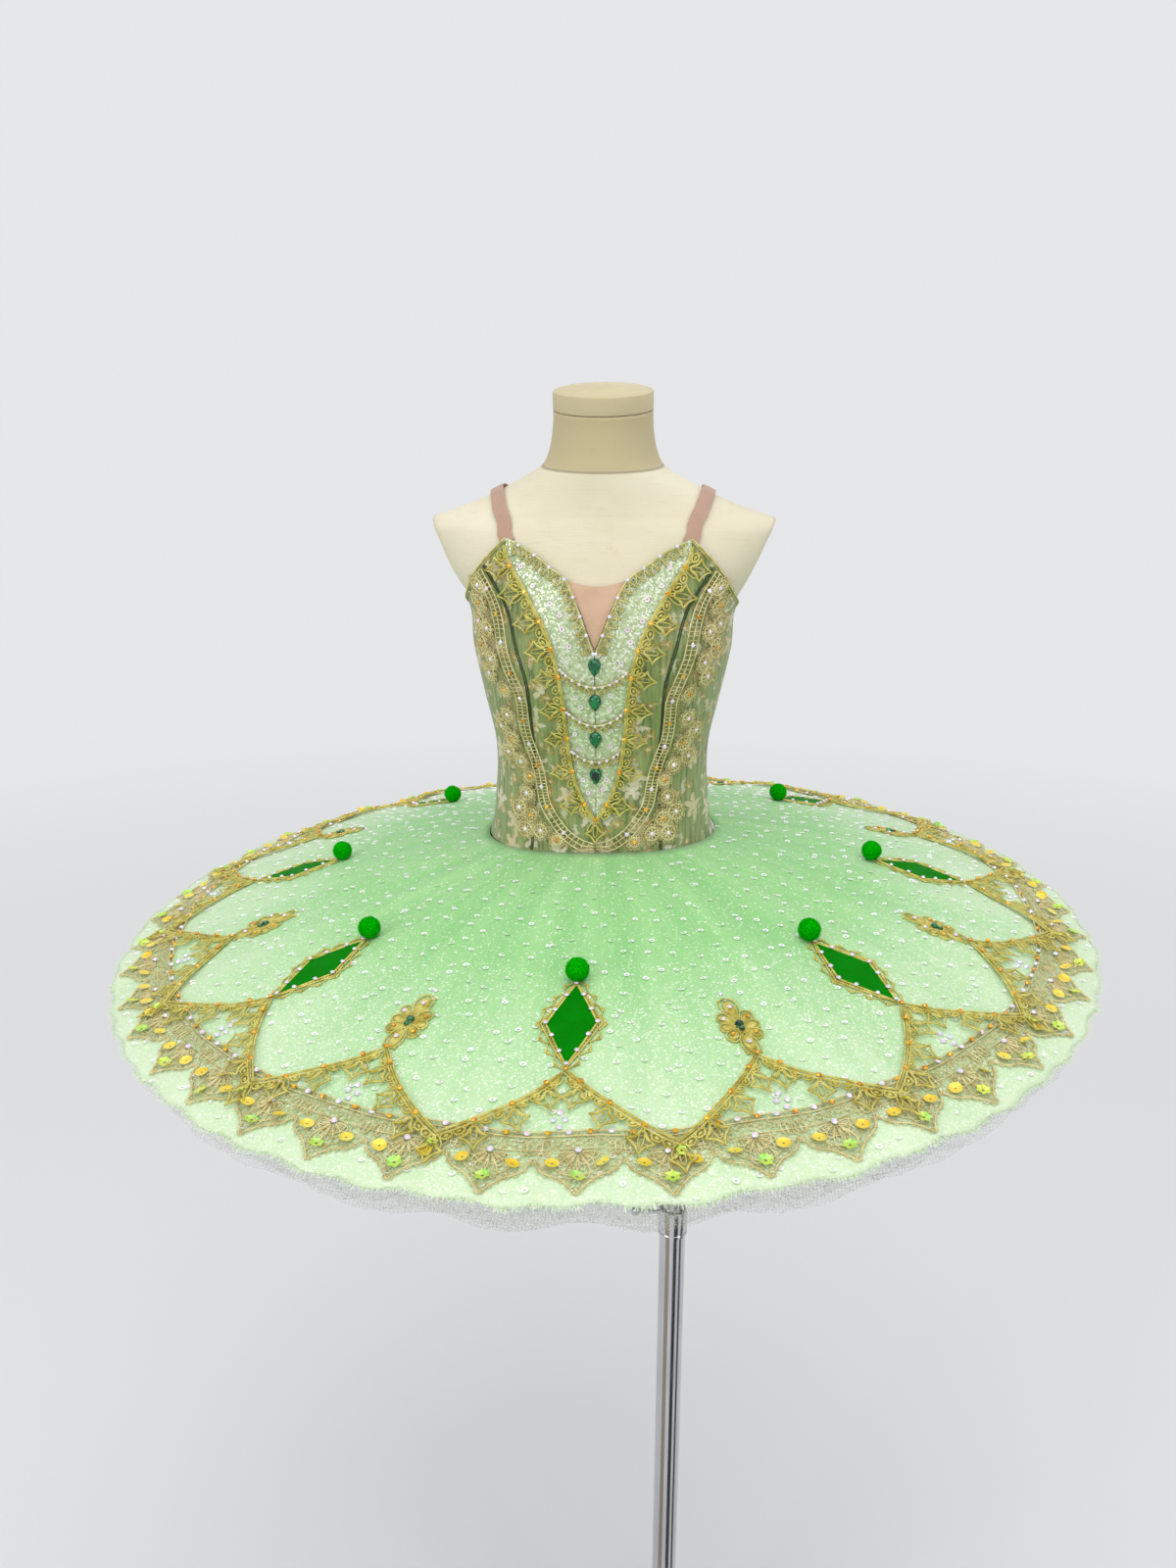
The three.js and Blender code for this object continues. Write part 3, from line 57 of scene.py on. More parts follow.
def feed(tree, node, inputs):
    """Sets a node's inputs, as values or as links from other nodes' outputs."""
    for key, value in inputs.items():
        if isinstance(value, bpy.types.NodeSocket):
            tree.links.new(value, node.inputs[key])
        else:
            node.inputs[key].default_value = value

def add_node(tree, kind, inputs=None, **settings):
    made = tree.nodes.new("ShaderNode" + kind)
    for key, value in settings.items():
        setattr(made, key, value)
    feed(tree, made, inputs or {})
    return made


def calculate(tree, operation, a, b=0.0, c=0.0):
    return add_node(tree, "Math", {0: a, 1: b, 2: c}, operation=operation).outputs[0]


def blend_colors(tree, share, first, second):
    return add_node(tree, "Mix", {0: share, 6: first, 7: second}, data_type="RGBA").outputs[2]


def between(tree, value, low, high, to_low=0.0, to_high=1.0):
    """Maps a value from one range to another, and stops at its ends."""
    return add_node(tree, "MapRange", {0: value, 1: low, 2: high, 3: to_low, 4: to_high}).outputs[0]


def new_finish(name):
    """A new material, with its node tree and its main shader."""
    material = bpy.data.materials.new(name)
    material.use_nodes = True
    return material, material.node_tree, material.node_tree.nodes["Principled BSDF"]

def own_place(tree):
    return add_node(tree, "TexCoord").outputs["Object"]

def full_turn(count):
    return np.linspace(0, 2 * math.pi, count, endpoint=False)

PALE_GREY = (0.785, 0.795, 0.81, 1.0)

world = bpy.data.worlds.new("studio_world")
world.use_nodes = True
scene.world = world
sky = world.node_tree
background = sky.nodes["Background"]
seen_directly = add_node(sky, "LightPath").outputs["Is Camera Ray"]
direction = add_node(sky, "SeparateXYZ", {0: add_node(sky, "TexCoord").outputs["Generated"]})
side_flags = between(sky, calculate(sky, "ABSOLUTE", direction.outputs[0]), 0.55, 0.80, 1.0, 0.42)
lit = blend_colors(sky, side_flags, (0.05, 0.05, 0.06, 1.0), PALE_GREY)
feed(sky, background, {"Color": blend_colors(sky, seen_directly, lit, PALE_GREY), "Strength": 1.0})


def soft_panel(name, place, target, size, power):
    light = bpy.data.lights.new(name, "AREA")
    light.shape = "RECTANGLE"
    light.size, light.size_y = size
    light.energy = power
    panel = bpy.data.objects.new(name, light)
    panel.location = place
    aim = np.subtract(target, place)
    level = math.hypot(aim[0], aim[1])
    panel.rotation_euler = (math.pi / 2 + math.atan2(aim[2], level), 0.0, math.atan2(-aim[0], aim[1]))
    scene.collection.objects.link(panel)


soft_panel("panel_overhead", (0.2, -0.5, 3.4), (0.0, 0.0, 1.2), (2.4, 2.0), 24.0)
soft_panel("panel_left", (-2.2, -2.2, 2.4), (0.0, 0.0, 1.3), (1.4, 1.8), 24.0)
soft_panel("panel_right", (2.4, -1.8, 2.2), (0.0, 0.0, 1.3), (1.0, 1.6), 10.0)


def build_mesh(name, points, faces, coordinates=None, smooth=True):
    """A mesh from arrays of points and of faces with equal corner counts. The coordinates,
    one pair a point, become its texture map."""
    points = np.asarray(points, np.float64).reshape(-1, 3)
    faces = np.asarray(faces, np.int32)
    mesh = bpy.data.meshes.new(name)
    mesh.vertices.add(len(points))
    mesh.vertices.foreach_set("co", points.astype(np.float32).ravel())
    mesh.loops.add(faces.size)
    mesh.loops.foreach_set("vertex_index", faces.ravel())
    mesh.polygons.add(len(faces))
    mesh.polygons.foreach_set("loop_start", np.arange(len(faces), dtype=np.int32) * faces.shape[1])
    if coordinates is not None:
        layer = mesh.uv_layers.new(name="cloth_map")
        layer.data.foreach_set("uv", np.asarray(coordinates, np.float32)[faces.ravel()].ravel())
    mesh.update(calc_edges=True)
    mesh.polygons.foreach_set("use_smooth", np.full(len(faces), smooth))
    mesh.validate()
    return mesh


def add_piece(name, mesh, material, body, nodes=()):
    """Puts a mesh in the scene as a piece that rides on a body and stands for CAD nodes."""
    made = bpy.data.objects.new(name, mesh)
    scene.collection.objects.link(made)
    mesh.materials.append(material)
    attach(made, body)
    if nodes:
        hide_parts(*nodes)
    return made


FLOOR_RADIUS = 40.0
floor_angles = full_turn(64)
floor_ring = [(FLOOR_RADIUS * math.cos(a), FLOOR_RADIUS * math.sin(a), 0.0) for a in floor_angles]
floor_mesh = bpy.data.meshes.new("studio_floor")
floor_mesh.from_pydata(floor_ring, [], [tuple(range(64))])
floor_finish, floor_tree, floor_shader = new_finish("floor_paint")
feed(floor_tree, floor_shader, {"Base Color": (0.83, 0.83, 0.835, 1.0), "Roughness": 0.9})
floor_reach = add_node(floor_tree, "VectorMath", {0: own_place(floor_tree)}, operation="LENGTH").outputs["Value"]
far_glow = add_node(floor_tree, "Emission", {"Color": PALE_GREY})
floor_mix = add_node(floor_tree, "MixShader", {0: between(floor_tree, floor_reach, 1.2, 5.0),
                                               1: floor_shader.outputs[0], 2: far_glow.outputs[0]})
floor_tree.links.new(floor_mix.outputs[0], floor_tree.nodes["Material Output"].inputs["Surface"])
studio_floor = bpy.data.objects.new("studio_floor", floor_mesh)
floor_mesh.materials.append(floor_finish)
scene.collection.objects.link(studio_floor)

# Two matt cards lie on the floor in front of the stand. Only polished metal mirrors them.
for card_name, start, end, shade in (("dark_card", 12.0, 44.0, (0.035, 0.040, 0.035, 1.0)),
                                     ("warm_card", -58.0, -22.0, (0.42, 0.35, 0.26, 1.0)),
                                     ("edge_card", 66.0, 88.0, (0.06, 0.06, 0.06, 1.0))):
    card_turn = np.radians(np.linspace(start, end, 12))
    card_points = [(0.084 + r * math.sin(a), -r * math.cos(a), 0.004) for r in (0.19, 4.0) for a in card_turn]
    card_mesh = bpy.data.meshes.new(card_name)
    card_mesh.from_pydata(card_points, [], [(k, k + 1, k + 13, k + 12) for k in range(11)])
    card_paint, card_tree, card_shader = new_finish(card_name)
    feed(card_tree, card_shader, {"Base Color": shade, "Roughness": 1.0})
    card_mesh.materials.append(card_paint)
    card = bpy.data.objects.new(card_name, card_mesh)
    card.visible_camera = card.visible_diffuse = card.visible_shadow = False
    scene.collection.objects.link(card)

# ---- Pole stand ---------------------------------------------------------------
# Chromed steel: a heavy round base, an outer tube pressed into its boss, a collar with a
# thumb screw, and the inner tube that carries the form on a welded flange.

POLE_X = 0.084
MM = 0.001


def turned(name, profile, segments, material, body, node, place=(POLE_X, 0.0, 0.0), along="Z"):
    """A lathe-turned piece from its closed profile of radius and height, in millimetres."""
    rows = np.array(profile, float) * MM
    angles = full_turn(segments)
    radius, height = rows[:, :1], np.repeat(rows[:, 1:], segments, axis=1)
    across, deep = radius * np.cos(angles), radius * np.sin(angles)
    points = np.stack([across, deep, height] if along == "Z" else [-height, across, deep], axis=-1)
    index = np.arange(len(rows) * segments).reshape(len(rows), segments)
    a, b = index[:-1], np.roll(index[:-1], -1, axis=1)
    c, d = np.roll(index[1:], -1, axis=1), index[1:]
    mesh = build_mesh(name, points + np.array(place), np.stack([a, b, c, d], -1).reshape(-1, 4))
    mesh.set_sharp_from_angle(angle=math.radians(35))
    return add_piece(name, mesh, material, body, [node])


def noise(tree, place, scale, detail, roughness=0.5):
    settings = {"Vector": place, "Scale": scale, "Detail": detail, "Roughness": roughness}
    return add_node(tree, "TexNoise", settings).outputs[0]

def stretched(tree, place, scale):
    return add_node(tree, "Mapping", {"Vector": place, "Scale": scale}).outputs[0]

def emboss(tree, shader, height, strength, depth):
    """Raises a finish by a height pattern, with its depth in metres."""
    bump = add_node(tree, "Bump", {"Height": height, "Strength": strength, "Distance": depth})
    tree.links.new(bump.outputs[0], shader.inputs["Normal"])

def metal_finish(name, color, roughness, scratch):
    """Polished metal: long fine scratches round the piece and a faint haze of handling."""
    material, tree, shader = new_finish(name)
    place = own_place(tree)
    drawn = stretched(tree, place, (900.0, 900.0, 14.0))
    lines = noise(tree, drawn, 1.0, 3.0)
    haze = noise(tree, place, 18.0, 5.0)
    rough = calculate(tree, "MULTIPLY_ADD", lines, 0.05,
                      between(tree, haze, 0.35, 0.75, roughness, roughness + 0.10))
    feed(tree, shader, {"Roughness": rough})
    tone = blend_colors(tree, between(tree, haze, 0.3, 0.8), color, tuple(0.86 * x for x in color[:3]) + (1.0,))
    feed(tree, shader, {"Base Color": tone, "Metallic": 1.0})
    emboss(tree, shader, lines, scratch, 0.0002)
    return material


chrome = metal_finish("polished_chrome", (0.62, 0.63, 0.65, 1.0), 0.10, 0.05)
base_chrome = metal_finish("base_chrome", (0.56, 0.57, 0.59, 1.0), 0.18, 0.08)

turned("base_plate_turned", [(0, 0), (163, 0), (165, 2), (165, 6), (164, 8.2), (161, 9), (34, 9), (27, 10.5),
                             (24, 14), (23.2, 40), (22, 42), (15.4, 42), (15.4, 8), (0, 8)],
       96, base_chrome, "stand", "base_plate")
turned("outer_tube_turned", [(13.4, 8.4), (15, 8.4), (15, 770.6), (13.4, 770.6), (13.4, 8.4)],
       64, chrome, "stand", "outer_tube")
turned("tube_collar_turned", [(13.1, 771.2), (15.4, 771.2), (15.4, 755), (17, 755), (17, 758), (16.4, 758.8),
                              (16.4, 760), (17, 760.8), (17, 786.6), (16.4, 788.2), (15.2, 789), (13.1, 789),
                              (13.1, 771.2)],
       64, chrome, "stand", "tube_collar")
screw_rows = [(0, 13), (2.8, 13), (2.8, 15.6), (2.2, 16), (2.8, 16.4), (2.8, 18), (2.4, 20), (2.4, 33), (3.4, 34),
              (3.4, 36), (2.4, 37.4)]
screw_rows += [(5.8 * math.cos(a), 43 + 5.8 * math.sin(a)) for a in np.linspace(-1.1, 1.35, 12)]
turned("thumb_screw_turned", screw_rows + [(0, 48.8)], 32, chrome, "screw", "thumb_screw",
       place=(POLE_X, 0.0, 0.780), along="X")
turned("inner_tube_turned", [(11.5, 489), (12.7, 489), (12.7, 1014.2), (11.5, 1014.2), (11.5, 489)],
       64, chrome, "mast", "inner_tube")
turned("form_flange_turned", [(0, 1014.8), (13.1, 1014.8), (13.1, 989.8), (15.5, 989.8), (17, 991), (17, 1010),
                              (19, 1012.5), (24.5, 1014.2), (25, 1015), (25, 1019.6), (0, 1019.6)],
       64, chrome, "form", "form_flange")

# ---- Dress form ---------------------------------------------------------------
# A papier-mache torso with thin padding, covered in cream linen that is stretched and
# pressed round it. The neck is capped with a linen-covered disc, and the arms end flat.

WAIST = 1.321
FORM_SECTIONS = np.array([
    # height, half width, front, back, roundness
    (-301, 112.0, 74.0, 78.0, 2.20), (-292, 126.0, 87.0, 91.0, 2.20), (-268, 138.0, 98.0, 103.0, 2.20),
    (-205, 147.0, 105.0, 114.0, 2.20), (-130, 133.0, 97.0, 106.0, 2.15), (-69, 110.7, 86.0, 90.0, 2.10),
    (-35, 106.0, 81.5, 83.0, 2.10), (0, 103.1, 79.0, 79.0, 2.10), (33, 104.9, 81.0, 80.0, 2.10),
    (75, 113.9, 89.0, 86.0, 2.10), (123, 123.6, 97.0, 93.0, 2.10), (166, 128.2, 93.0, 97.0, 2.10),
    (204, 156.0, 80.0, 97.0, 2.00), (234, 174.0, 66.0, 88.0, 1.80), (244, 172.0, 62.0, 84.0, 1.60),
    (248, 158.0, 60.0, 81.0, 1.60), (262, 118.0, 57.0, 75.0, 1.60), (279, 82.0, 54.0, 66.0, 1.80),
    (293, 59.0, 52.0, 58.0, 2.00), (300, 54.0, 50.0, 55.0, 2.00), (314, 49.5, 47.5, 51.0, 2.00),
    (334, 47.0, 46.0, 48.0, 2.00), (344, 47.0, 47.0, 47.0, 2.00)])


def smooth_column(rows, column, key):
    """A table's column as a smooth function of its first column."""
    key = np.clip(key, rows[0, 0], rows[-1, 0])
    i = np.clip(np.searchsorted(rows[:, 0], key, side="left") - 1, 0, len(rows) - 2)
    low, high = np.maximum(i - 1, 0), np.minimum(i + 2, len(rows) - 1)
    value, at = rows[:, column], rows[:, 0]
    span = at[i + 1] - at[i]
    first = (value[i + 1] - value[low]) / (at[i + 1] - at[low])
    last = (value[high] - value[i]) / (at[high] - at[i])
    u = (key - at[i]) / span
    return ((2 * u**3 - 3 * u**2 + 1) * value[i] + (u**3 - 2 * u**2 + u) * span * first
            + (3 * u**2 - 2 * u**3) * value[i + 1] + (u**3 - u**2) * span * last)


def smooth_step(value, low, high):
    share = np.clip((value - low) / (high - low), 0, 1)
    return share * share * (3 - 2 * share)


def form_point(angle, height):
    """A point of the form's surface, in millimetres. Angle 0 is the centre front."""
    angle, height = np.broadcast_arrays(np.asarray(angle, float), np.asarray(height, float))
    half, front, back, roundness = (smooth_column(FORM_SECTIONS, k, height) for k in (1, 2, 3, 4))
    sine, cosine = np.sin(angle), np.cos(angle)
    x = half * np.sign(sine) * np.abs(sine) ** (2 / roundness)
    plate = np.where(height > 166, 128.2 + (height - 166) * (164 - 128.2) / 78, 1e9)
    x = np.clip(x, -plate, plate)
    y = -np.where(cosine > 0, front, back) * np.sign(cosine) * np.abs(cosine) ** (2 / roundness)
    swell = np.exp(-((x - 60) / 38) ** 2) + np.exp(-((x + 60) / 38) ** 2)
    y = y - np.where(cosine > 0, 9 * cosine * swell * np.exp(-((height - 128) / 48) ** 2), 0)
    z = height + y * math.tan(math.radians(9)) * smooth_step(height, 279, 344)
    return np.stack([x, y, z], -1)


def unit(ways):
    """The same directions with a length of one."""
    return ways / np.linalg.norm(ways, axis=-1, keepdims=True)

def form_normal(angle, height):
    along = form_point(angle + 0.02, height) - form_point(angle - 0.02, height)
    up = form_point(angle, np.asarray(height) + 1.0) - form_point(angle, np.asarray(height) - 1.0)
    return unit(np.cross(along, up))


def on_form(angle, height, lift):
    """A place in space, lifted from the form by so many millimetres."""
    point = form_point(angle, height) + np.asarray(lift)[..., None] * form_normal(angle, height)
    return (point + np.array([0.0, 0.0, WAIST / MM])) * MM


def grid_faces(rows, columns, closed=False):
    index = np.arange(rows * columns).reshape(rows, columns)
    if closed:
        index = np.concatenate([index, index[:, :1]], axis=1)
    return np.stack([index[:-1, :-1], index[:-1, 1:], index[1:, 1:], index[1:, :-1]], -1).reshape(-1, 4)


torso_heights = np.concatenate([np.linspace(-301, -292, 5), np.linspace(-288, 226, 84),
                                np.linspace(229, 262, 18), np.linspace(265, 344, 26)])
torso_angles = full_turn(120)
heights, angles = np.meshgrid(torso_heights, torso_angles, indexing="ij")
torso = on_form(angles, heights, np.zeros_like(angles))
torso_map = np.stack([angles * 0.12, heights * MM], -1)
ends = [[edge.mean(axis=0) + (edge - edge.mean(axis=0)) * share for share in (0.2, 0.6, 0.96)]
        for edge in (torso[0], torso[-1])]
torso = np.concatenate([ends[0], torso, ends[1][::-1]])
torso_map = np.concatenate([torso_map[:1]] * 3 + [torso_map] + [torso_map[-1:]] * 3)
torso_faces = grid_faces(*torso.shape[:2], closed=True)
torso_mesh = build_mesh("form_torso_linen", torso.reshape(-1, 3), torso_faces, torso_map.reshape(-1, 2))


def linen_finish(name, light, dark):
    """Plain-weave linen: crossing threads, slubs and faint foxing spots."""
    material, tree, shader = new_finish(name)
    place = own_place(tree)
    split = add_node(tree, "SeparateXYZ", {0: place})
    warp = add_node(tree, "TexWave", {"Vector": place, "Scale": 260.0, "Distortion": 1.2}, bands_direction="X")
    weft = add_node(tree, "TexWave", {"Vector": place, "Scale": 260.0, "Distortion": 1.2}, bands_direction="Z")
    weave = calculate(tree, "MULTIPLY", warp.outputs[1], weft.outputs[1])
    slub = noise(tree, stretched(tree, place, (60.0, 60.0, 500.0)), 1.0, 3.0)
    cloud = noise(tree, place, 9.0, 6.0)
    spots = add_node(tree, "TexVoronoi", {"Vector": place, "Scale": 46.0, "Randomness": 1.0}).outputs["Distance"]
    foxing = calculate(tree, "MULTIPLY", between(tree, spots, 0.10, 0.17, 1.0, 0.0),
                       between(tree, cloud, 0.52, 0.66, 0.0, 0.55))
    tone = blend_colors(tree, between(tree, cloud, 0.3, 0.75), light, dark)
    tone = blend_colors(tree, between(tree, weave, 0.0, 1.0, 0.10, 0.0), tone, (0.30, 0.24, 0.14, 1.0))
    tone = blend_colors(tree, between(tree, slub, 0.55, 0.8, 0.0, 0.18), tone, (0.45, 0.38, 0.24, 1.0))
    tone = blend_colors(tree, foxing, tone, (0.42, 0.28, 0.12, 1.0))
    feed(tree, shader, {"Base Color": tone, "Roughness": 0.88})
    shader.inputs["Sheen Weight"].default_value = 0.15
    relief = calculate(tree, "ADD", weave, slub)
    emboss(tree, shader, relief, 0.25, 0.0004)
    return material, tree, shader, split, tone


linen, linen_tree, linen_shader, linen_place, linen_tone = linen_finish(
    "cream_linen", (0.78, 0.73, 0.56, 1.0), (0.66, 0.59, 0.41, 1.0))
neck_lean = calculate(linen_tree, "MULTIPLY_ADD", linen_place.outputs[1], -0.12, linen_place.outputs[2])
neck_shade = between(linen_tree, neck_lean, WAIST + 0.293, WAIST + 0.297, 0.0, 0.85)
neck_seam = between(linen_tree, calculate(linen_tree, "ABSOLUTE", calculate(
    linen_tree, "SUBTRACT", neck_lean, WAIST + 0.295)), 0.0006, 0.0014, 0.6, 0.0)
linen_tone = blend_colors(linen_tree, neck_shade, linen_tone, (0.46, 0.385, 0.20, 1.0))
linen_tone = blend_colors(linen_tree, neck_seam, linen_tone, (0.22, 0.17, 0.10, 1.0))
linen_tree.links.new(linen_tone, linen_shader.inputs["Base Color"])
torso_piece = add_piece("form_torso_linen", torso_mesh, linen, "form", ["form_torso"])

cap_linen, *_ = linen_finish("cap_linen", (0.64, 0.56, 0.36, 1.0), (0.50, 0.42, 0.24, 1.0))
cap_rows = [(0, 0), (46.2, 0), (47.1, 0.8), (47.2, 2), (47.2, 14.6), (46.7, 16.2), (45.3, 17.2), (44.6, 17.0),
            (44.0, 17.4), (38, 19.0), (26, 20.6), (12, 21.3), (0, 21.5)]
cap = turned("neck_cap_linen", cap_rows, 72, cap_linen, "form", "neck_cap", place=(0.0, 0.0, 0.0))
tilt = math.radians(9)
cap_points = np.array([vertex.co for vertex in cap.data.vertices])
leaning = np.array([[1, 0, 0], [0, math.cos(tilt), math.sin(tilt)], [0, -math.sin(tilt), math.cos(tilt)]])
spun = cap_points @ leaning
cap.data.vertices.foreach_set("co", (spun + np.array([0, 0, WAIST + 0.3445])).astype(np.float32).ravel())
cap.data.update()

# ---- Bodice panels --------------------------------------------------------------
# Ten boned panels of sage-green crinkled brocade, with the pale glitter plastron set in
# at the front. They are seamed edge to edge over coutil, and close at the centre back.

BODICE_TOP = 3.7      # millimetres from the form to the face of the brocade
BODICE_CLOTH = 1.2
NECKLINE = [(0.2, 133), (6.3, 148.5), (15, 171), (27, 195), (40.5, 205), (58, 217), (76, 226.5), (85.8, 230)]
PLASTRON_SEAM = [(85.8, 230), (82, 212), (64, 184.5), (43, 146.5), (33.2, 111), (29.5, 86), (27.2, 61),
                 (22.5, 20.6), (14.7, -8.2), (1.6, -33)]
HEM = -74.0
PRINCESS_SEAM = [(42, 209), (39, 180), (35.5, 146), (30.8, 105), (32.3, 52), (33.5, 10), (33, HEM)]
TOP_EDGE = np.array([(31.5, 230), (36, 220), (42, 209), (50, 196.5), (62, 183), (77, 172), (90, 166),
                     (112, 148), (135, 132), (158, 124), (180, 122)], float)


def angle_across(across, height):
    """The angle at which the front of the form lies so far from its centre line."""
    half, roundness = smooth_column(FORM_SECTIONS, 1, height), smooth_column(FORM_SECTIONS, 4, height)
    share = np.clip(np.abs(across) / half, 0, 1)
    return np.sign(across) * np.arcsin(share ** (roundness / 2))


def smooth_line(rows, steps):
    """Points at equal steps along a smooth curve through a short list of points."""
    rows = np.array(rows, float)
    chord = np.concatenate([[0], np.cumsum(np.linalg.norm(np.diff(rows, axis=0), axis=1) ** 0.75)])
    fine = np.linspace(0, chord[-1], 40 * len(rows))
    table = np.column_stack([chord, rows])
    line = np.column_stack([smooth_column(table, k + 1, fine) for k in range(rows.shape[1])])
    run = np.concatenate([[0], np.cumsum(np.linalg.norm(np.diff(line, axis=0), axis=1))])
    even = np.linspace(0, run[-1], steps + 1)
    return np.column_stack([np.interp(even, run, line[:, k]) for k in range(rows.shape[1])])


def as_angles(line):
    return np.column_stack([angle_across(line[:, 0], line[:, 1]), line[:, 1]])


def level_edge(start, end, height_of, steps):
    degrees = np.linspace(start, end, steps + 1)
    return np.column_stack([np.radians(degrees), height_of(degrees)])


def top_height(degrees):
    return smooth_column(TOP_EDGE, 1, degrees)


def hem_height(degrees):
    return np.full_like(degrees, HEM)


ROWS = 72
COLUMNS = 30
plastron_seam = as_angles(smooth_line(PLASTRON_SEAM, ROWS))
front_seam = as_angles(smooth_line(PLASTRON_SEAM + [(0.2, -37), (0, -50), (0, -62), (0, HEM)], ROWS))
princess_seam = smooth_line(PRINCESS_SEAM, ROWS)
princess_seam[:, 0] = np.radians(princess_seam[:, 0])


def plumb_seam(degrees):
    heights = np.linspace(top_height(np.array(float(degrees))), HEM, ROWS + 1)
    return np.column_stack([np.full(ROWS + 1, math.radians(degrees)), heights])


PANELS = {
    "plastron": (as_angles(smooth_line(NECKLINE, COLUMNS)),
                 np.column_stack([np.zeros(COLUMNS + 1), np.full(COLUMNS + 1, -33.5)]),
                 np.column_stack([np.zeros(ROWS + 1), np.linspace(133, -33.5, ROWS + 1)]), plastron_seam),
    "front": (level_edge(32.1, 42, top_height, COLUMNS), level_edge(0, 33, hem_height, COLUMNS),
              front_seam, princess_seam),
    "side_front": (level_edge(42, 90, top_height, COLUMNS), level_edge(33, 90, hem_height, COLUMNS),
                   princess_seam, plumb_seam(90)),
    "side_back": (level_edge(90, 135, top_height, COLUMNS), level_edge(90, 135, hem_height, COLUMNS),
                  plumb_seam(90), plumb_seam(135)),
    "back": (level_edge(135, 180, top_height, COLUMNS), level_edge(135, 180, hem_height, COLUMNS),
             plumb_seam(135), plumb_seam(180)),
}


def span_panel(top, bottom, left, right):
    """Angles and heights of a panel's grid, spanned between its four edges."""
    v = np.linspace(0, 1, len(left))[:, None, None]
    u = np.linspace(0, 1, len(top))[None, :, None]
    corners = (1 - u) * ((1 - v) * left[0] + v * left[-1]) + u * ((1 - v) * right[0] + v * right[-1])
    return (1 - v) * top[None] + v * bottom[None] + (1 - u) * left[:, None] + u * right[:, None] - corners


def cloth_shell(name, outside, inside, flat_map, material, body, nodes):
    """A closed thin shell of cloth between two grids of points, finished round its edge."""
    rows, columns = outside.shape[:2]
    count = rows * columns
    index = np.arange(count).reshape(rows, columns)
    border = np.concatenate([index[0, :-1], index[:-1, -1], index[-1, :0:-1], index[:0:-1, 0]])
    ahead = np.roll(border, -1)
    faces = np.concatenate([grid_faces(rows, columns), grid_faces(rows, columns)[:, ::-1] + count,
                            np.stack([border + count, ahead + count, ahead, border], -1)])
    points = np.concatenate([outside.reshape(-1, 3), inside.reshape(-1, 3)])
    flat = np.concatenate([flat_map.reshape(-1, 2)] * 2)
    mesh = build_mesh(name, points, faces, flat)
    mesh.set_sharp_from_angle(angle=math.radians(60))
    return add_piece(name, mesh, material, body, nodes)


def run_round(angle, height):
    """How far round the form a place lies from the centre front, in metres."""
    turns = np.linspace(0, 1, 33)[:, None, None] * angle
    rounds = form_point(turns, np.broadcast_to(height, turns.shape)) * MM
    return np.sign(angle) * np.linalg.norm(np.diff(rounds, axis=0), axis=-1).sum(axis=0)


def petals(tree, place, cell, radius, depth, softness, randomness=0.9):
    """Scattered five-petalled blossoms on the flat cloth: how far inside one a place is,
    and the blossom's own random colour. Sizes are in millimetres."""
    scaled = add_node(tree, "VectorMath", {0: place, "Scale": 1.0 / cell}, operation="SCALE").outputs[0]
    cells = add_node(tree, "TexVoronoi", {"Vector": scaled, "Scale": 1.0, "Randomness": randomness},
                     voronoi_dimensions="2D")
    away = add_node(tree, "VectorMath", {0: scaled, 1: cells.outputs["Position"]}, operation="SUBTRACT")
    split = add_node(tree, "SeparateXYZ", {0: away.outputs[0]})
    lot = add_node(tree, "SeparateColor", {0: cells.outputs["Color"]})
    turn = calculate(tree, "ARCTAN2", split.outputs[1], split.outputs[0])
    turn = calculate(tree, "MULTIPLY_ADD", turn, 5.0, calculate(tree, "MULTIPLY", lot.outputs[1], 6.28))
    lobe = calculate(tree, "MULTIPLY_ADD", calculate(tree, "COSINE", turn), depth / cell, radius / cell)
    reach = add_node(tree, "VectorMath", {0: away.outputs[0]}, operation="LENGTH").outputs["Value"]
    inside = calculate(tree, "SUBTRACT", lobe, reach)
    return between(tree, inside, -softness / cell, softness / cell), lot, reach


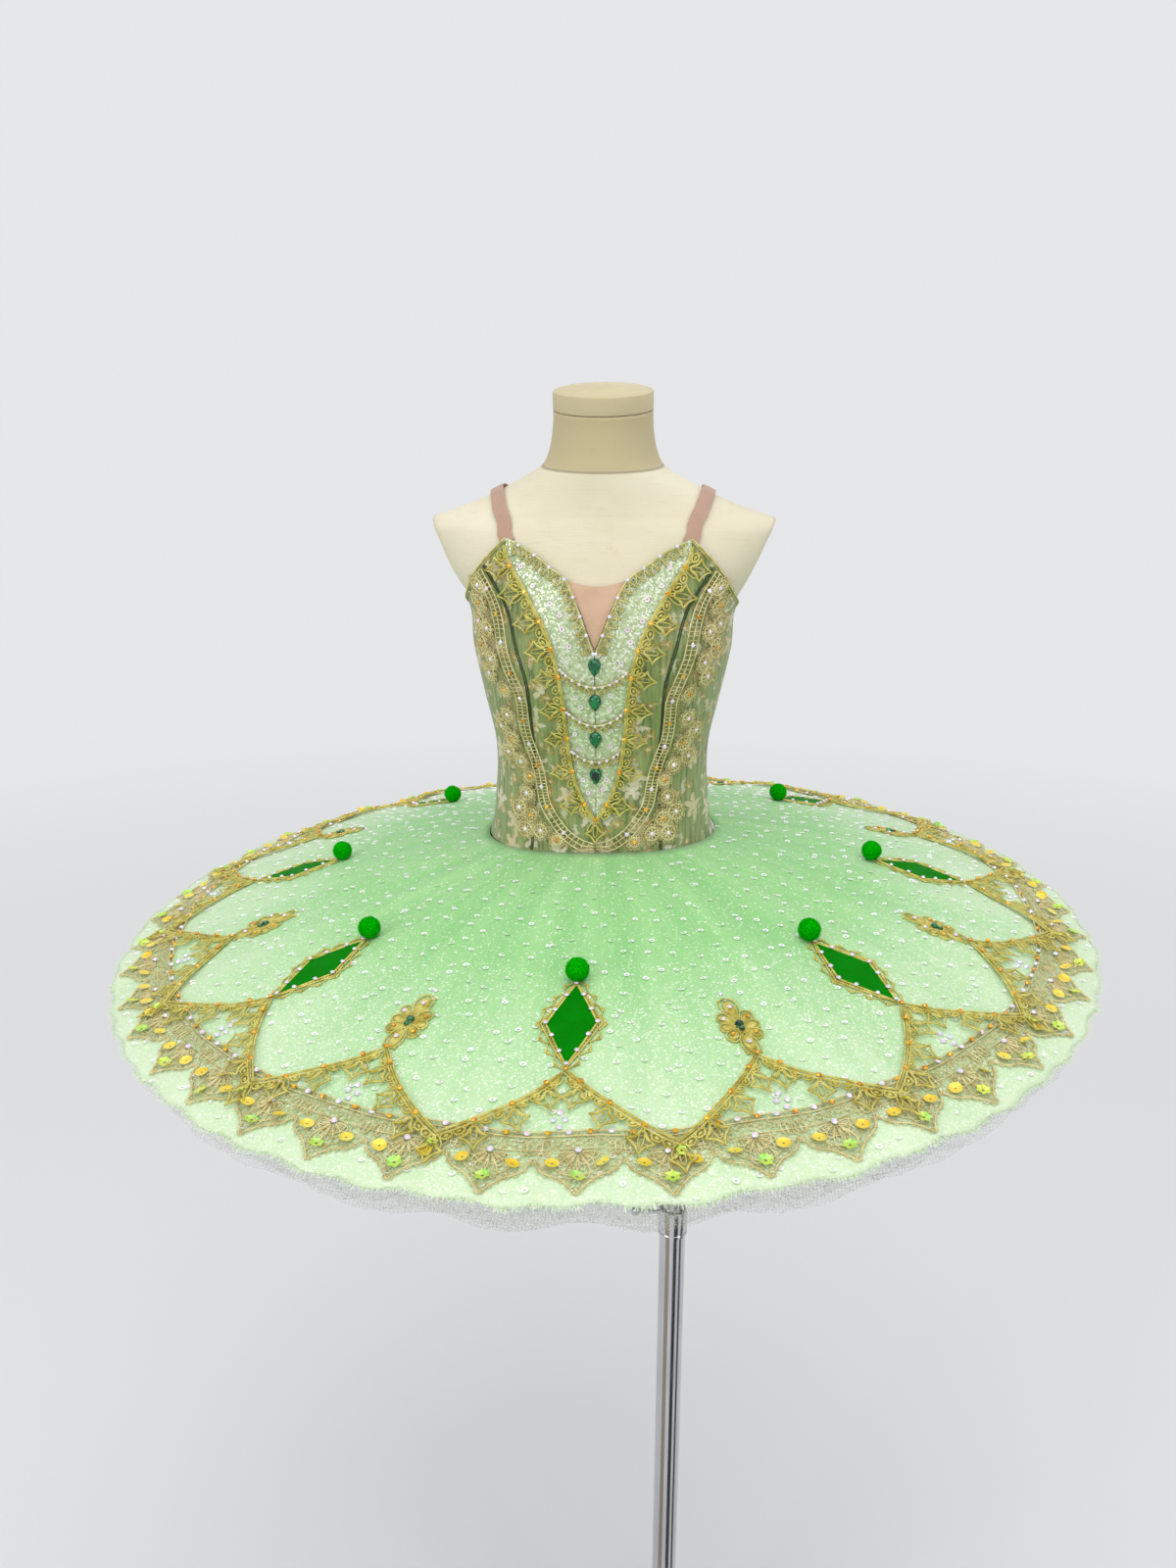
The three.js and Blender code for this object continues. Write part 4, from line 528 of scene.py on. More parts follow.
def brocade_finish():
    """Sage brocade, heat-crinkled lengthways, with painted shade and light along its crinkles, and woven cream and
    mustard blossoms.
    """
    material, tree, shader = new_finish("crinkled_brocade")
    flat = add_node(tree, "UVMap", uv_map="cloth_map").outputs[0]
    place = add_node(tree, "VectorMath", {0: flat, "Scale": 1000.0}, operation="SCALE").outputs[0]
    wander = add_node(tree, "TexNoise", {"Vector": place, "Scale": 0.16, "Detail": 4.0, "Roughness": 0.62})
    shift = add_node(tree, "VectorMath", {0: wander.outputs["Color"], 1: (0.5, 0.5, 0.5)}, operation="SUBTRACT")
    bent = add_node(tree, "VectorMath", {0: shift.outputs[0], 1: (13.0, 13.0, 0.0), 2: place},
                    operation="MULTIPLY_ADD").outputs[0]
    crinkle = noise(tree, stretched(tree, place, (0.30, 0.022, 1.0)), 1.0, 2.0)
    fine = noise(tree, stretched(tree, place, (1.4, 0.12, 1.0)), 1.0, 3.0)
    groups = noise(tree, place, 0.017, 1.0)
    cream, cream_lot, _ = petals(tree, bent, 26.0, 9.0, 4.2, 0.7)
    gold, gold_lot, gold_reach = petals(tree, bent, 15.0, 4.6, 2.2, 0.5)
    leaf, leaf_lot, _ = petals(tree, add_node(tree, "Mapping", {
        "Vector": bent, "Rotation": (0.0, 0.0, 0.7), "Scale": (1.9, 0.8, 1.0)}).outputs[0], 17.0, 5.0, 1.0, 0.6)
    cream = calculate(tree, "MULTIPLY", cream, between(tree, calculate(
        tree, "ADD", cream_lot.outputs[0], groups), 1.02, 1.08))
    gold = calculate(tree, "MULTIPLY", gold, between(tree, calculate(
        tree, "ADD", gold_lot.outputs[0], groups), 1.06, 1.12))
    leaf = calculate(tree, "MULTIPLY", leaf, between(tree, calculate(
        tree, "ADD", leaf_lot.outputs[2], groups), 1.06, 1.12))
    # Painted shade and light: the ground is painted darker in the crinkles' troughs and lighter on their ridges,
    # and the fine crinkles lighter on their tops. The same noises raise the relief.
    ground = blend_colors(tree, between(tree, crinkle, 0.32, 0.68), (0.125, 0.185, 0.040, 1.0),
                          (0.335, 0.400, 0.140, 1.0))
    ground = blend_colors(tree, between(tree, fine, 0.4, 0.75, 0.0, 0.35), ground, (0.43, 0.52, 0.23, 1.0))
    woven = blend_colors(tree, calculate(tree, "MULTIPLY", leaf, 0.85), ground, (0.62, 0.62, 0.40, 1.0))
    woven = blend_colors(tree, calculate(tree, "MULTIPLY", cream, 0.92), woven,
                         blend_colors(tree, cream_lot.outputs[2], (0.78, 0.74, 0.56, 1.0), (0.66, 0.54, 0.27, 1.0)))
    gold_tone = blend_colors(tree, between(tree, gold_reach, 0.06, 0.14), (0.70, 0.66, 0.42, 1.0),
                             (0.47, 0.33, 0.075, 1.0))
    woven = blend_colors(tree, calculate(tree, "MULTIPLY", gold, 0.9), woven, gold_tone)
    # Painted shadow: the deepest crinkle troughs are darkened further.
    shadow = between(tree, crinkle, 0.30, 0.44, 0.30, 0.0)
    woven = blend_colors(tree, shadow, woven, (0.10, 0.13, 0.05, 1.0))
    feed(tree, shader, {"Base Color": woven})
    figured = calculate(tree, "MAXIMUM", cream, calculate(tree, "MAXIMUM", gold, leaf))
    feed(tree, shader, {"Roughness": between(tree, figured, 0.0, 1.0, 0.55, 0.38)})
    shader.inputs["Sheen Weight"].default_value = 0.25
    relief = calculate(tree, "MULTIPLY_ADD", figured, 0.35, calculate(tree, "MULTIPLY_ADD", fine, 0.3, crinkle))
    emboss(tree, shader, relief, 1.0, 0.0022)
    return material


def glitter_finish(name, ground, deep, flake, amount):
    """Cloth with glued glitter: irregular flakes, each at its own tilt, over the weave."""
    material, tree, shader = new_finish(name)
    place = own_place(tree)
    cells = add_node(tree, "TexVoronoi", {"Vector": place, "Scale": 620.0, "Randomness": 1.0})
    lot = add_node(tree, "SeparateColor", {0: cells.outputs["Color"]})
    cloud = noise(tree, place, 240.0, 4.0, 0.7)
    tone = blend_colors(tree, between(tree, cloud, 0.35, 0.65), deep, ground)
    spark = calculate(tree, "GREATER_THAN", lot.outputs[0], 1.0 - amount)
    tone = blend_colors(tree, spark, tone, blend_colors(tree, lot.outputs[1], flake, (0.95, 0.97, 0.90, 1.0)))
    feed(tree, shader, {"Base Color": tone, "Roughness": between(tree, spark, 0.0, 1.0, 0.6, 0.22),
                        "Metallic": calculate(tree, "MULTIPLY", spark, 0.35)})
    emboss(tree, shader, calculate(tree, "ADD", lot.outputs[2], cloud), 0.8, 0.0008)
    return material


brocade = brocade_finish()
plastron_cloth = glitter_finish("plastron_glitter", (0.60, 0.68, 0.44, 1.0), (0.33, 0.43, 0.20, 1.0),
                                (0.72, 0.84, 0.50, 1.0), 0.30)
SIDES = (("right", 1), ("left", -1))
for side, sign in SIDES:
    for panel_name, edges in PANELS.items():
        spanned = span_panel(*edges)
        angle, height = sign * spanned[..., 0], spanned[..., 1]
        inset = 0.0015 * np.linspace(1, -1, COLUMNS + 1)[None, :]
        angle = angle + sign * inset
        ease = 0.25 * np.sin(angle * 37 + 1.7 * sign) * np.sin(height * 0.045 + 3 * angle)
        outside = on_form(angle, height, BODICE_TOP - 0.3 + ease)
        inside = on_form(angle, height, np.full_like(angle, BODICE_TOP - BODICE_CLOTH))
        shift = {"plastron": 0.0, "front": 0.11, "side_front": 0.23, "side_back": 0.41, "back": 0.57}[panel_name]
        flat = np.stack([run_round(angle, height) + sign * shift, outside[..., 2]], -1)
        if sign < 0:
            outside, inside, flat = outside[:, ::-1], inside[:, ::-1], flat[:, ::-1]
        cloth, slot = (plastron_cloth, "plastron_cloth") if panel_name == "plastron" else (brocade, "brocade")
        node = f"{panel_name}_{side}"
        panel = cloth_shell(node + "_cloth", outside[::-1], inside[::-1], flat[::-1], cloth, "form", [node])

# ---- Neckline insert and straps ---------------------------------------------------
# Nude stretch mesh fills the notch of the neckline, seamed under its edge. The straps
# are nude elastic, sewn inside the front peak and the back edge, and cross no hardware.


def stretch_finish(name, color, wale):
    """Fine knitted stretch cloth with narrow ribs, smooth and slightly silky."""
    material, tree, shader = new_finish(name)
    flat = add_node(tree, "UVMap", uv_map="cloth_map").outputs[0]
    ribs = add_node(tree, "TexWave", {"Vector": flat, "Scale": wale, "Distortion": 0.4}, bands_direction="X")
    loops = add_node(tree, "TexWave", {"Vector": flat, "Scale": wale * 0.7}, bands_direction="Y")
    cloud = noise(tree, flat, 60.0, 3.0)
    tone = blend_colors(tree, between(tree, cloud, 0.3, 0.7), color, tuple(0.86 * x for x in color[:3]) + (1.0,))
    feed(tree, shader, {"Base Color": tone, "Roughness": 0.62})
    shader.inputs["Sheen Weight"].default_value = 0.3
    height = calculate(tree, "MULTIPLY", ribs.outputs[1], loops.outputs[1])
    emboss(tree, shader, height, 0.35, 0.0003)
    return material


nude_mesh = stretch_finish("nude_stretch_mesh", (0.64, 0.42, 0.275, 1.0), 420.0)
notch = smooth_line(NECKLINE[:4], 24)[::-1]
share = np.linspace(-1, 1, 25)
notch_angle = np.maximum(angle_across(notch[:, 0], notch[:, 1]) - 0.003, 0.003)
angle = share[None, :] * notch_angle[:, None]
sink = np.where(np.arange(25) < 12, 5.0 * (1 - np.arange(25) / 12.0), 0.0)[:, None] * (1 - share[None, :] ** 2)
height = notch[:, 1:] - sink + np.linspace(0, 1.0, 25)[:, None]
outside = on_form(angle, height, np.full_like(angle, 2.8))
inside = on_form(angle, height, np.full_like(angle, 2.0))
flat = outside[..., [0, 2]]
insert = cloth_shell("modesty_insert_mesh", outside[::-1], inside[::-1], flat[::-1], nude_mesh, "form",
                     ["modesty_insert"])

nude_elastic = stretch_finish("nude_elastic", (0.47, 0.285, 0.20, 1.0), 700.0)
STRAP_ROUTE = np.array([
    # degrees round the form, height, lift
    (30.6, 226, 1.3), (32.3, 233, 1.5), (35.3, 243, 1.8), (46.4, 254, 2.2), (60, 263, 2.6), (75, 268.5, 3.0),
    (90, 270, 3.2), (105, 268.5, 3.0), (120, 262, 3.6), (133, 250, 4.2), (141, 228, 3.6), (146, 195, 2.4),
    (150, 160, 1.6), (151, 128.5, 1.6)])
STRAP_HALF = 6.8
STRAP_CLOTH = 1.0
for side, sign in SIDES:
    turn = sign * np.radians(STRAP_ROUTE[:, 0])
    stations = on_form(turn, STRAP_ROUTE[:, 1], STRAP_ROUTE[:, 2])
    normals = form_normal(turn, STRAP_ROUTE[:, 1])
    both = smooth_line(np.column_stack([stations, normals * 0.02]), 60)
    route, normal = both[:, :3], unit(both[:, 3:])
    tangent = unit(np.gradient(route, axis=0))
    across = unit(np.cross(tangent, normal))
    up = np.cross(across, tangent)
    spread = np.linspace(-1, 1, 7)
    low = route[:, None] + spread[None, :, None] * across[:, None] * STRAP_HALF * MM
    high = low + up[:, None] * (STRAP_CLOTH - 0.25 * spread**4)[None, :, None] * MM
    length = np.linalg.norm(np.diff(route, axis=0), axis=1).sum()
    flat = np.stack(np.meshgrid(np.linspace(0, length, 61), spread * STRAP_HALF * MM, indexing="ij")[::-1], -1)
    strap = cloth_shell(f"strap_{side}_elastic", high[:, ::-1], low[:, ::-1], flat[:, ::-1], nude_elastic, "form",
                        [f"strap_{side}"])

# ---- Piping, edge cord and closing ---------------------------------------------------
# A double line of dark green piping covers each princess seam, an olive-gold cord
# finishes the top edge, and hooks and bars close the centre back edge to edge.


def on_front(plan, lift):
    """A place on the form's front from its distance across and its height."""
    return on_form(angle_across(plan[..., 0], plan[..., 1]), plan[..., 1], np.full(len(plan), lift))


def round_form(plan, lift):
    """A place on the form from its angle in degrees and its height."""
    return on_form(np.radians(plan[..., 0]), plan[..., 1], np.full(len(plan), lift))


# Three rings of eight points: the faces between them, then both ends in fours.
DOME_FACES = np.concatenate([grid_faces(3, 8, closed=True), [
    [16, 17, 18, 19], [16, 19, 20, 23], [20, 21, 22, 23], [3, 2, 1, 0], [7, 4, 3, 0], [7, 6, 5, 4]]])

class Cordwork:
    """Cords sewn down on cloth, gathered into one piece. lay(plan, lift) gives the places
    in space of points in plan, at so many millimetres above the cloth."""

    def __init__(self, lay):
        self.lay = lay
        self.points, self.faces, self.runs = [], [], []
        self.count = 0

    def frame(self, plan, lift):
        base = self.lay(plan, lift)
        return base, unit(self.lay(plan, lift + 1.0) - base)

    def add(self, points, faces, runs):
        self.points.append(points.reshape(-1, 3))
        self.faces.append(np.asarray(faces) + self.count)
        self.runs.append(runs.reshape(-1, 2))
        self.count += len(self.points[-1])

    def cord(self, line, thick, lift=0.0, closed=False, sides=6):
        """A round cord of four or six sides along a line."""
        line = np.asarray(line, float)
        base, up = self.frame(line, lift)
        along = np.roll(base, -1, axis=0) - np.roll(base, 1, axis=0) if closed else np.gradient(base, axis=0)
        side = np.cross(along, up)
        side /= np.linalg.norm(side, axis=-1, keepdims=True) + 1e-12
        turn = (np.arange(sides) + 0.5) * 2 * math.pi / sides
        radius = thick / 2 * MM
        ring = (base + up * radius)[:, None] + radius * (
            np.cos(turn)[:, None] * side[:, None] + np.sin(turn)[:, None] * up[:, None])
        index = np.arange(len(line) * sides).reshape(len(line), sides)
        wrap = np.concatenate([index, index[:, :1]], axis=1)
        wrap = np.concatenate([wrap, wrap[:1]]) if closed else wrap
        faces = np.stack([wrap[:-1, :-1], wrap[1:, :-1], wrap[1:, 1:], wrap[:-1, 1:]], -1).reshape(-1, 4)
        if not closed:
            caps = [index[0, :4], index[-1, 3::-1]]
            if sides == 6:
                caps += [index[0, [0, 3, 4, 5]], index[-1, [5, 4, 3, 0]]]
            faces = np.concatenate([faces, caps])
        run = np.concatenate([[0], np.cumsum(np.linalg.norm(np.diff(base, axis=0), axis=1))])
        runs = np.stack(np.broadcast_arrays(run[:, None], np.arange(sides)[None] / sides), -1)
        self.add(ring, faces, runs)

    def pad(self, centre, toward, reach, width, thick):
        """A domed pad of satin stitches, longest in one direction."""
        turn = np.arange(8) * math.pi / 4
        rows = [(1.0, 0.0), (0.92, 0.45), (0.55, 0.9)]
        toward = unit(np.asarray(toward, float))
        across = np.array([-toward[1], toward[0]])
        rings = []
        for share, height in rows:
            plan = np.asarray(centre) + share * (
                reach * np.cos(turn)[:, None] * toward + width * np.sin(turn)[:, None] * across)
            base, up = self.frame(plan, 0.0)
            rings.append(base + up * height * thick * MM)
        runs = np.stack(np.meshgrid(np.arange(3) * reach * MM, np.arange(8) / 8, indexing="ij"), -1)
        self.add(np.array(rings), DOME_FACES, runs)

    def sew(self, name, material, nodes):
        mesh = build_mesh(name, np.concatenate(self.points), np.concatenate(self.faces), np.concatenate(self.runs))
        add_piece(name, mesh, material, "form", nodes)


def cord_finish(name, light, deep, shine, twist=0.0011):
    """Cord wound with metal thread: a fine twist, with painted light on its ridges and painted shade in the grooves
    between.
    """
    material, tree, shader = new_finish(name)
    split = add_node(tree, "SeparateXYZ", {0: add_node(tree, "UVMap", uv_map="cloth_map").outputs[0]})
    phase = calculate(tree, "MULTIPLY_ADD", split.outputs[0], 2 * math.pi / twist,
                      calculate(tree, "MULTIPLY", split.outputs[1], 2 * math.pi))
    strand = calculate(tree, "MULTIPLY_ADD", calculate(tree, "SINE", phase), 0.5, 0.5)
    place = own_place(tree)
    wear = noise(tree, place, 130.0, 4.0)
    # Painted shade and light: the twist paints its grooves towards the deep colour and its ridges towards the light
    # one. The wear noise varies the tone at random.
    share = calculate(tree, "MULTIPLY", between(tree, wear, 0.30, 0.62), between(tree, strand, 0.0, 1.0, 0.55, 1.0))
    feed(tree, shader, {"Base Color": blend_colors(tree, share, deep, light), "Metallic": shine,
                        "Roughness": between(tree, wear, 0.3, 0.7, 0.52, 0.36)})
    emboss(tree, shader, strand, 0.5, 0.0003)
    return material


green_piping = cord_finish("green_piping", (0.045, 0.10, 0.030, 1.0), (0.010, 0.025, 0.008, 1.0), 0.0)
olive_cord = cord_finish("olive_gold_cord", (0.80, 0.74, 0.32, 1.0), (0.38, 0.33, 0.07, 1.0), 0.20)
gold_cord = cord_finish("yellow_gold_cord", (0.84, 0.76, 0.22, 1.0), (0.42, 0.34, 0.03, 1.0), 0.20)
beige_cord = cord_finish("beige_gold_cord", (0.94, 0.85, 0.46, 1.0), (0.54, 0.45, 0.16, 1.0), 0.12)

piping = Cordwork(round_form)
seam_plan = np.column_stack([np.degrees(princess_seam[:, 0]), princess_seam[:, 1]])[1:-1]
for side, sign in SIDES:
    for offset in (-0.55, 0.55):
        piping.cord((seam_plan + [offset, 0.0]) * [sign, 1.0], 1.1, lift=BODICE_TOP - 0.35)
piping.sew("princess_piping", green_piping, [])

edge_cord = Cordwork(round_form)
for side, sign in SIDES:
    degrees = np.concatenate([np.linspace(31.5, 90, 60), np.linspace(92, 179.6, 60)])
    rim = np.column_stack([degrees * sign, top_height(degrees) - 0.6])
    edge_cord.cord(rim, 1.8, lift=BODICE_TOP - 0.6)
    edge_cord.cord(rim - [0.0, 2.1], 1.1, lift=BODICE_TOP - 0.1)
edge_cord.sew("top_edge_cord", olive_cord, [])

HOOKS = 12
closing = Cordwork(round_form)
for k in range(HOOKS):
    level = 112.0 - k * 16.2
    hook = [(-2.8, -1.2), (-0.4, -1.2), (1.6, -0.9), (2.3, 0.0), (1.6, 0.9), (-0.4, 1.2), (-2.8, 1.2)]
    closing.cord(smooth_line([(180 + x * 0.62, level + z) for x, z in hook], 18), 0.8, lift=BODICE_TOP + 0.1)
    bar = [(182.0, level - 2.4), (181.3, level - 1.2), (181.3, level + 1.2), (182.0, level + 2.4)]
    closing.cord(smooth_line(bar, 8), 0.8, lift=BODICE_TOP + 0.1)
closing.sew("hooks_and_bars", chrome, [])

# ---- Crystals and sequins --------------------------------------------------------------
# Small faceted glass stones with foiled backs, glued or sewn on one by one, and thin
# plastic sequins: shared shapes, set by each trim below in its own places.

BRILLIANT = [(0.85, 0.0), (1.0, 0.30), (0.60, 0.72)]   # radius and height of its rings


def brilliant():
    """A round stone of eight sides with a flat table, of radius one."""
    turn = np.arange(8) * math.pi / 4
    rings = [np.column_stack([r * np.cos(turn), r * np.sin(turn), np.full(8, z)]) for r, z in BRILLIANT]
    return np.concatenate(rings), DOME_FACES


def ring_sequin(hole, cup, sides=9, lobes=0, lobe_depth=0.0):
    """A sequin of radius one with a hole, dished, and scalloped where it has lobes."""
    turn = np.arange(sides) * 2 * math.pi / sides
    edge = 1.0 - lobe_depth * (0.5 - 0.5 * np.cos(lobes * turn))
    middle = (hole + 1.0) / 2
    rows = [(edge, cup), (middle * edge, 0.35 * cup), (hole, 0.02), (middle * edge, 0.35 * cup - 0.07)]
    rings = [np.column_stack([r * np.cos(turn), r * np.sin(turn), np.full(sides, z)]) for r, z in rows]
    index = np.arange(4 * sides).reshape(4, sides)
    wrap = np.concatenate([index, index[:1]])
    wrap = np.concatenate([wrap, wrap[:, :1]], axis=1)
    faces = np.stack([wrap[:-1, :-1], wrap[1:, :-1], wrap[1:, 1:], wrap[:-1, 1:]], -1).reshape(-1, 4)
    return np.concatenate(rings), faces[:, ::-1]


def set_stones(name, shape, lay, rows, material, seed, tilt=0.07):
    """Copies of a small shape, one for each row of x, y, radius and lift in millimetres,
    each at its own turn and with its own slight tilt."""
    rows = np.asarray(rows, float)
    draw = np.random.default_rng(seed)
    base = np.concatenate([lay(row[None, :2], row[3]) for row in rows])
    up = np.concatenate([lay(row[None, :2], row[3] + 1.0) for row in rows]) - base
    up = unit(unit(up) + draw.normal(0, tilt, up.shape))
    first = unit(np.cross(up, [0.3, 0.9, 0.2]))
    second = np.cross(up, first)
    spin = draw.uniform(0, 2 * math.pi, len(rows))[:, None]
    x_axis = np.cos(spin) * first + np.sin(spin) * second
    y_axis = np.cross(up, x_axis)
    points, faces = shape
    size = rows[:, 2, None, None] * MM
    spread = base[:, None] + size * (points[None, :, :1] * x_axis[:, None] + points[None, :, 1:2] * y_axis[:, None]
                                     + points[None, :, 2:] * up[:, None])
    joined = faces[None] + (np.arange(len(rows)) * len(points))[:, None, None]
    mesh = build_mesh(name, spread, joined.reshape(-1, faces.shape[1]), smooth=False)
    add_piece(name, mesh, material, "form")


def glass_finish(name, color, bright, shine=0.55, rainbow=0.0):
    """Foiled glass, with painted reflection: some facets painted bright, as if catching light off the foil, and
    others deep, with a rainbow coating on some stones, in tints that change from facet to facet."""
    material, tree, shader = new_finish(name)
    facet = add_node(tree, "NewGeometry").outputs["True Normal"]
    place = own_place(tree)
    turned_way = add_node(tree, "VectorMath", {0: facet, 1: (5.0, 5.0, 5.0), 2: place}, operation="MULTIPLY_ADD")
    lot = add_node(tree, "TexNoise", {"Vector": turned_way.outputs[0], "Scale": 2.3, "Detail": 1.0})
    # Painted reflection: each facet is painted bright or deep by its direction, as if it caught light off the foil.
    tone = blend_colors(tree, between(tree, lot.outputs[0], 0.40, 0.60), color, bright)
    if rainbow:
        split = add_node(tree, "SeparateColor", {0: lot.outputs["Color"]})
        hue = between(tree, split.outputs[1], 0.30, 0.70, 0.45, 1.05)
        tint = add_node(tree, "CombineColor", {0: hue, 1: 0.38, 2: 1.0}, mode="HSV").outputs[0]
        tone = blend_colors(tree, rainbow, tone, tint)
    feed(tree, shader, {"Base Color": tone, "Metallic": shine, "Roughness": 0.12})
    shader.inputs["Coat Weight"].default_value = 0.5
    return material


def sequin_finish(name, color, other, gloss):
    """Thin plastic with a coating whose colour changes with the way it is seen."""
    material, tree, shader = new_finish(name)
    place = own_place(tree)
    lot = noise(tree, place, 34.0, 1.0)
    slant = add_node(tree, "LayerWeight", {"Blend": 0.45}).outputs["Facing"]
    mix = calculate(tree, "ADD", between(tree, lot, 0.35, 0.65, 0.0, 0.6), between(tree, slant, 0.1, 0.8, 0.0, 0.5))
    feed(tree, shader, {"Base Color": blend_colors(tree, mix, color, other), "Metallic": gloss,
                        "Roughness": 0.20})
    shader.inputs["Coat Weight"].default_value = 0.5
    return material


topaz = glass_finish("topaz_glass", (0.62, 0.22, 0.004, 1.0), (1.0, 0.60, 0.04, 1.0), 0.35)
rainbow_glass = glass_finish("rainbow_glass", (0.78, 0.80, 0.84, 1.0), (1.0, 1.0, 1.0, 1.0), 0.25, 0.5)
emerald = glass_finish("emerald_glass", (0.0, 0.014, 0.007, 1.0), (0.0, 0.26, 0.09, 1.0), 0.30)

# ---- Gold cord lace on the bodice ------------------------------------------------------
# Machine lace of thick yellow-gold cord, cut from a length and sewn over the plastron
# seam: a braid line, star points outwards, and padded ovals between them.

TRIM_LIFT = 5.9
STAR_TIPS = [
    # distance across, height
    (101.9, 201), (89.0, 179), (72.8, 154.5), (62.2, 131.5), (55.1, 107.7), (51.7, 76), (47.5, 45.5),
    (42.4, 11), (33.9, -22)]
STAR_ROOT_RISE = 4.0
BOTTOM_STAR = -57.0


def beside(start, end, spots):
    """Places given as shares of the way from start to end, and of that length to its left."""
    start, end = np.asarray(start, float), np.asarray(end, float)
    axis = end - start
    left = np.array([-axis[1], axis[0]])
    spots = np.asarray(spots, float)
    return start + spots[:, :1] * axis + spots[:, 1:] * left


def bow(start, end, sag, steps=6):
    """A shallow arc without its last point, bent to the left by a share of its length."""
    share = np.linspace(0, 1, steps, endpoint=False)
    return beside(start, end, np.column_stack([share, 4 * sag * share * (1 - share)]))


def leaf(start, end, width, steps=12):
    """A closed loop, pointed at its start and round at its end."""
    turn = np.arange(steps) * 2 * math.pi / steps
    share = (1 - np.cos(turn)) / 2
    return beside(start, end, np.column_stack([share, width * np.sin(turn) * share**0.5]))


def oval(centre, toward, reach, width, steps=12):
    turn = np.arange(steps) * 2 * math.pi / steps
    toward = unit(np.asarray(toward, float))
    left = np.array([-toward[1], toward[0]])
    return np.asarray(centre) + reach * np.cos(turn)[:, None] * toward + width * np.sin(turn)[:, None] * left


def star_point(work, root, tip, thick=1.9):
    """A pointed star of cord: its outline, a rib up its middle and leaves at its root."""
    spots = beside(root, tip, [(0.26, 0.10), (0.56, 0.40), (1.0, 0.0), (0.56, -0.40), (0.26, -0.10)])
    outline = np.concatenate([bow(spots[k], spots[(k + 1) % 5], -0.13 if k < 4 else 0.2) for k in range(5)])
    work.cord(outline, thick, closed=True, sides=4)
    work.cord(leaf(*beside(root, tip, [(0.02, 0.0), (0.74, 0.0)]), 0.15), 0.55 * thick, closed=True, sides=4)
    for side in (-1, 1):
        ends = beside(root, tip, [(0.0, 0.03 * side), (0.50, 0.27 * side)])
        work.cord(leaf(*ends, 0.22), 0.62 * thick, lift=0.3, closed=True, sides=4)


def star_lace(work, line_at, stars, outward, end):
    """One arm of the lace: star points at their places on the line, with the tip of each,
    and two padded ovals in each space between them and before the end."""
    for at, tip in stars:
        star_point(work, line_at(at), tip)
    stops = [at for at, _ in stars] + [end]
    for start, stop in zip(stops[:-1], stops[1:]):
        for share, lean in ((0.34, 0.5), (0.68, -0.4)):
            at = start + (stop - start) * share
            small = (stop - start) * 0.02
            along = unit(line_at(at + small) - line_at(at - small))
            away = outward(line_at(at))
            centre = line_at(at) + away * 4.4
            toward = along + lean * away
            work.cord(oval(centre, toward, 4.1, 2.9), 1.6, closed=True, sides=4)
            work.pad(centre, toward, 2.2, 1.2, 1.6)


def braid(work, line, gap, thick, closed=False):
    """Two cords side by side with a finer one on top."""
    along = np.gradient(line, axis=0)
    left = unit(np.column_stack([-along[:, 1], along[:, 0]]))
    for offset in (-gap, gap):
        work.cord(line + left * offset, thick, closed=closed)
    work.cord(line, 0.7 * thick, lift=0.7 * thick, closed=closed, sides=4)


SEAM_TABLE = np.array(PLASTRON_SEAM[::-1], float)[:, ::-1]

def seam_across(height):
    return float(smooth_column(SEAM_TABLE, 1, np.array(float(height))))

gold_lace = Cordwork(lambda plan, lift: on_front(plan, TRIM_LIFT + lift))
topaz_rows = [(0.0, -33.0, 2.5, TRIM_LIFT + 0.9)]
for side, sign in SIDES:

    def seam_at(height, sign=sign):
        return np.array([sign * seam_across(height), float(height)])

    stars = [(height + STAR_ROOT_RISE, (sign * across, height)) for across, height in STAR_TIPS]
    star_lace(gold_lace, seam_at, stars, lambda spot, sign=sign: np.array([sign * 0.93, -0.37]), -31.0)
    braid(gold_lace, np.array([seam_at(h) for h in np.linspace(222, -34, 110)]), 0.9, 1.5)
    gold_lace.cord(oval(seam_at(214) + [sign * 4.5, -1.0], (sign * 0.6, 1.0), 4.1, 2.9), 1.6, closed=True)
    gold_lace.pad(seam_at(214) + [sign * 4.5, -1.0], (sign * 0.6, 1.0), 2.2, 1.2, 1.6)
    topaz_rows += [(*seam_at(at), 2.5, TRIM_LIFT + 0.9) for at, _ in stars]
star_point(gold_lace, (0.0, -34.0), (0.0, BOTTOM_STAR))

# Finer olive-gold lace along the neckline and in three swags across the plastron: an
# edge cord, open scallops and trefoil picots.
NECKLINE_LACE_TOP = 226.5
SWAGS = [
    # height at the ends, height in the middle
    (117, 99.5), (75, 61), (34, 23)]


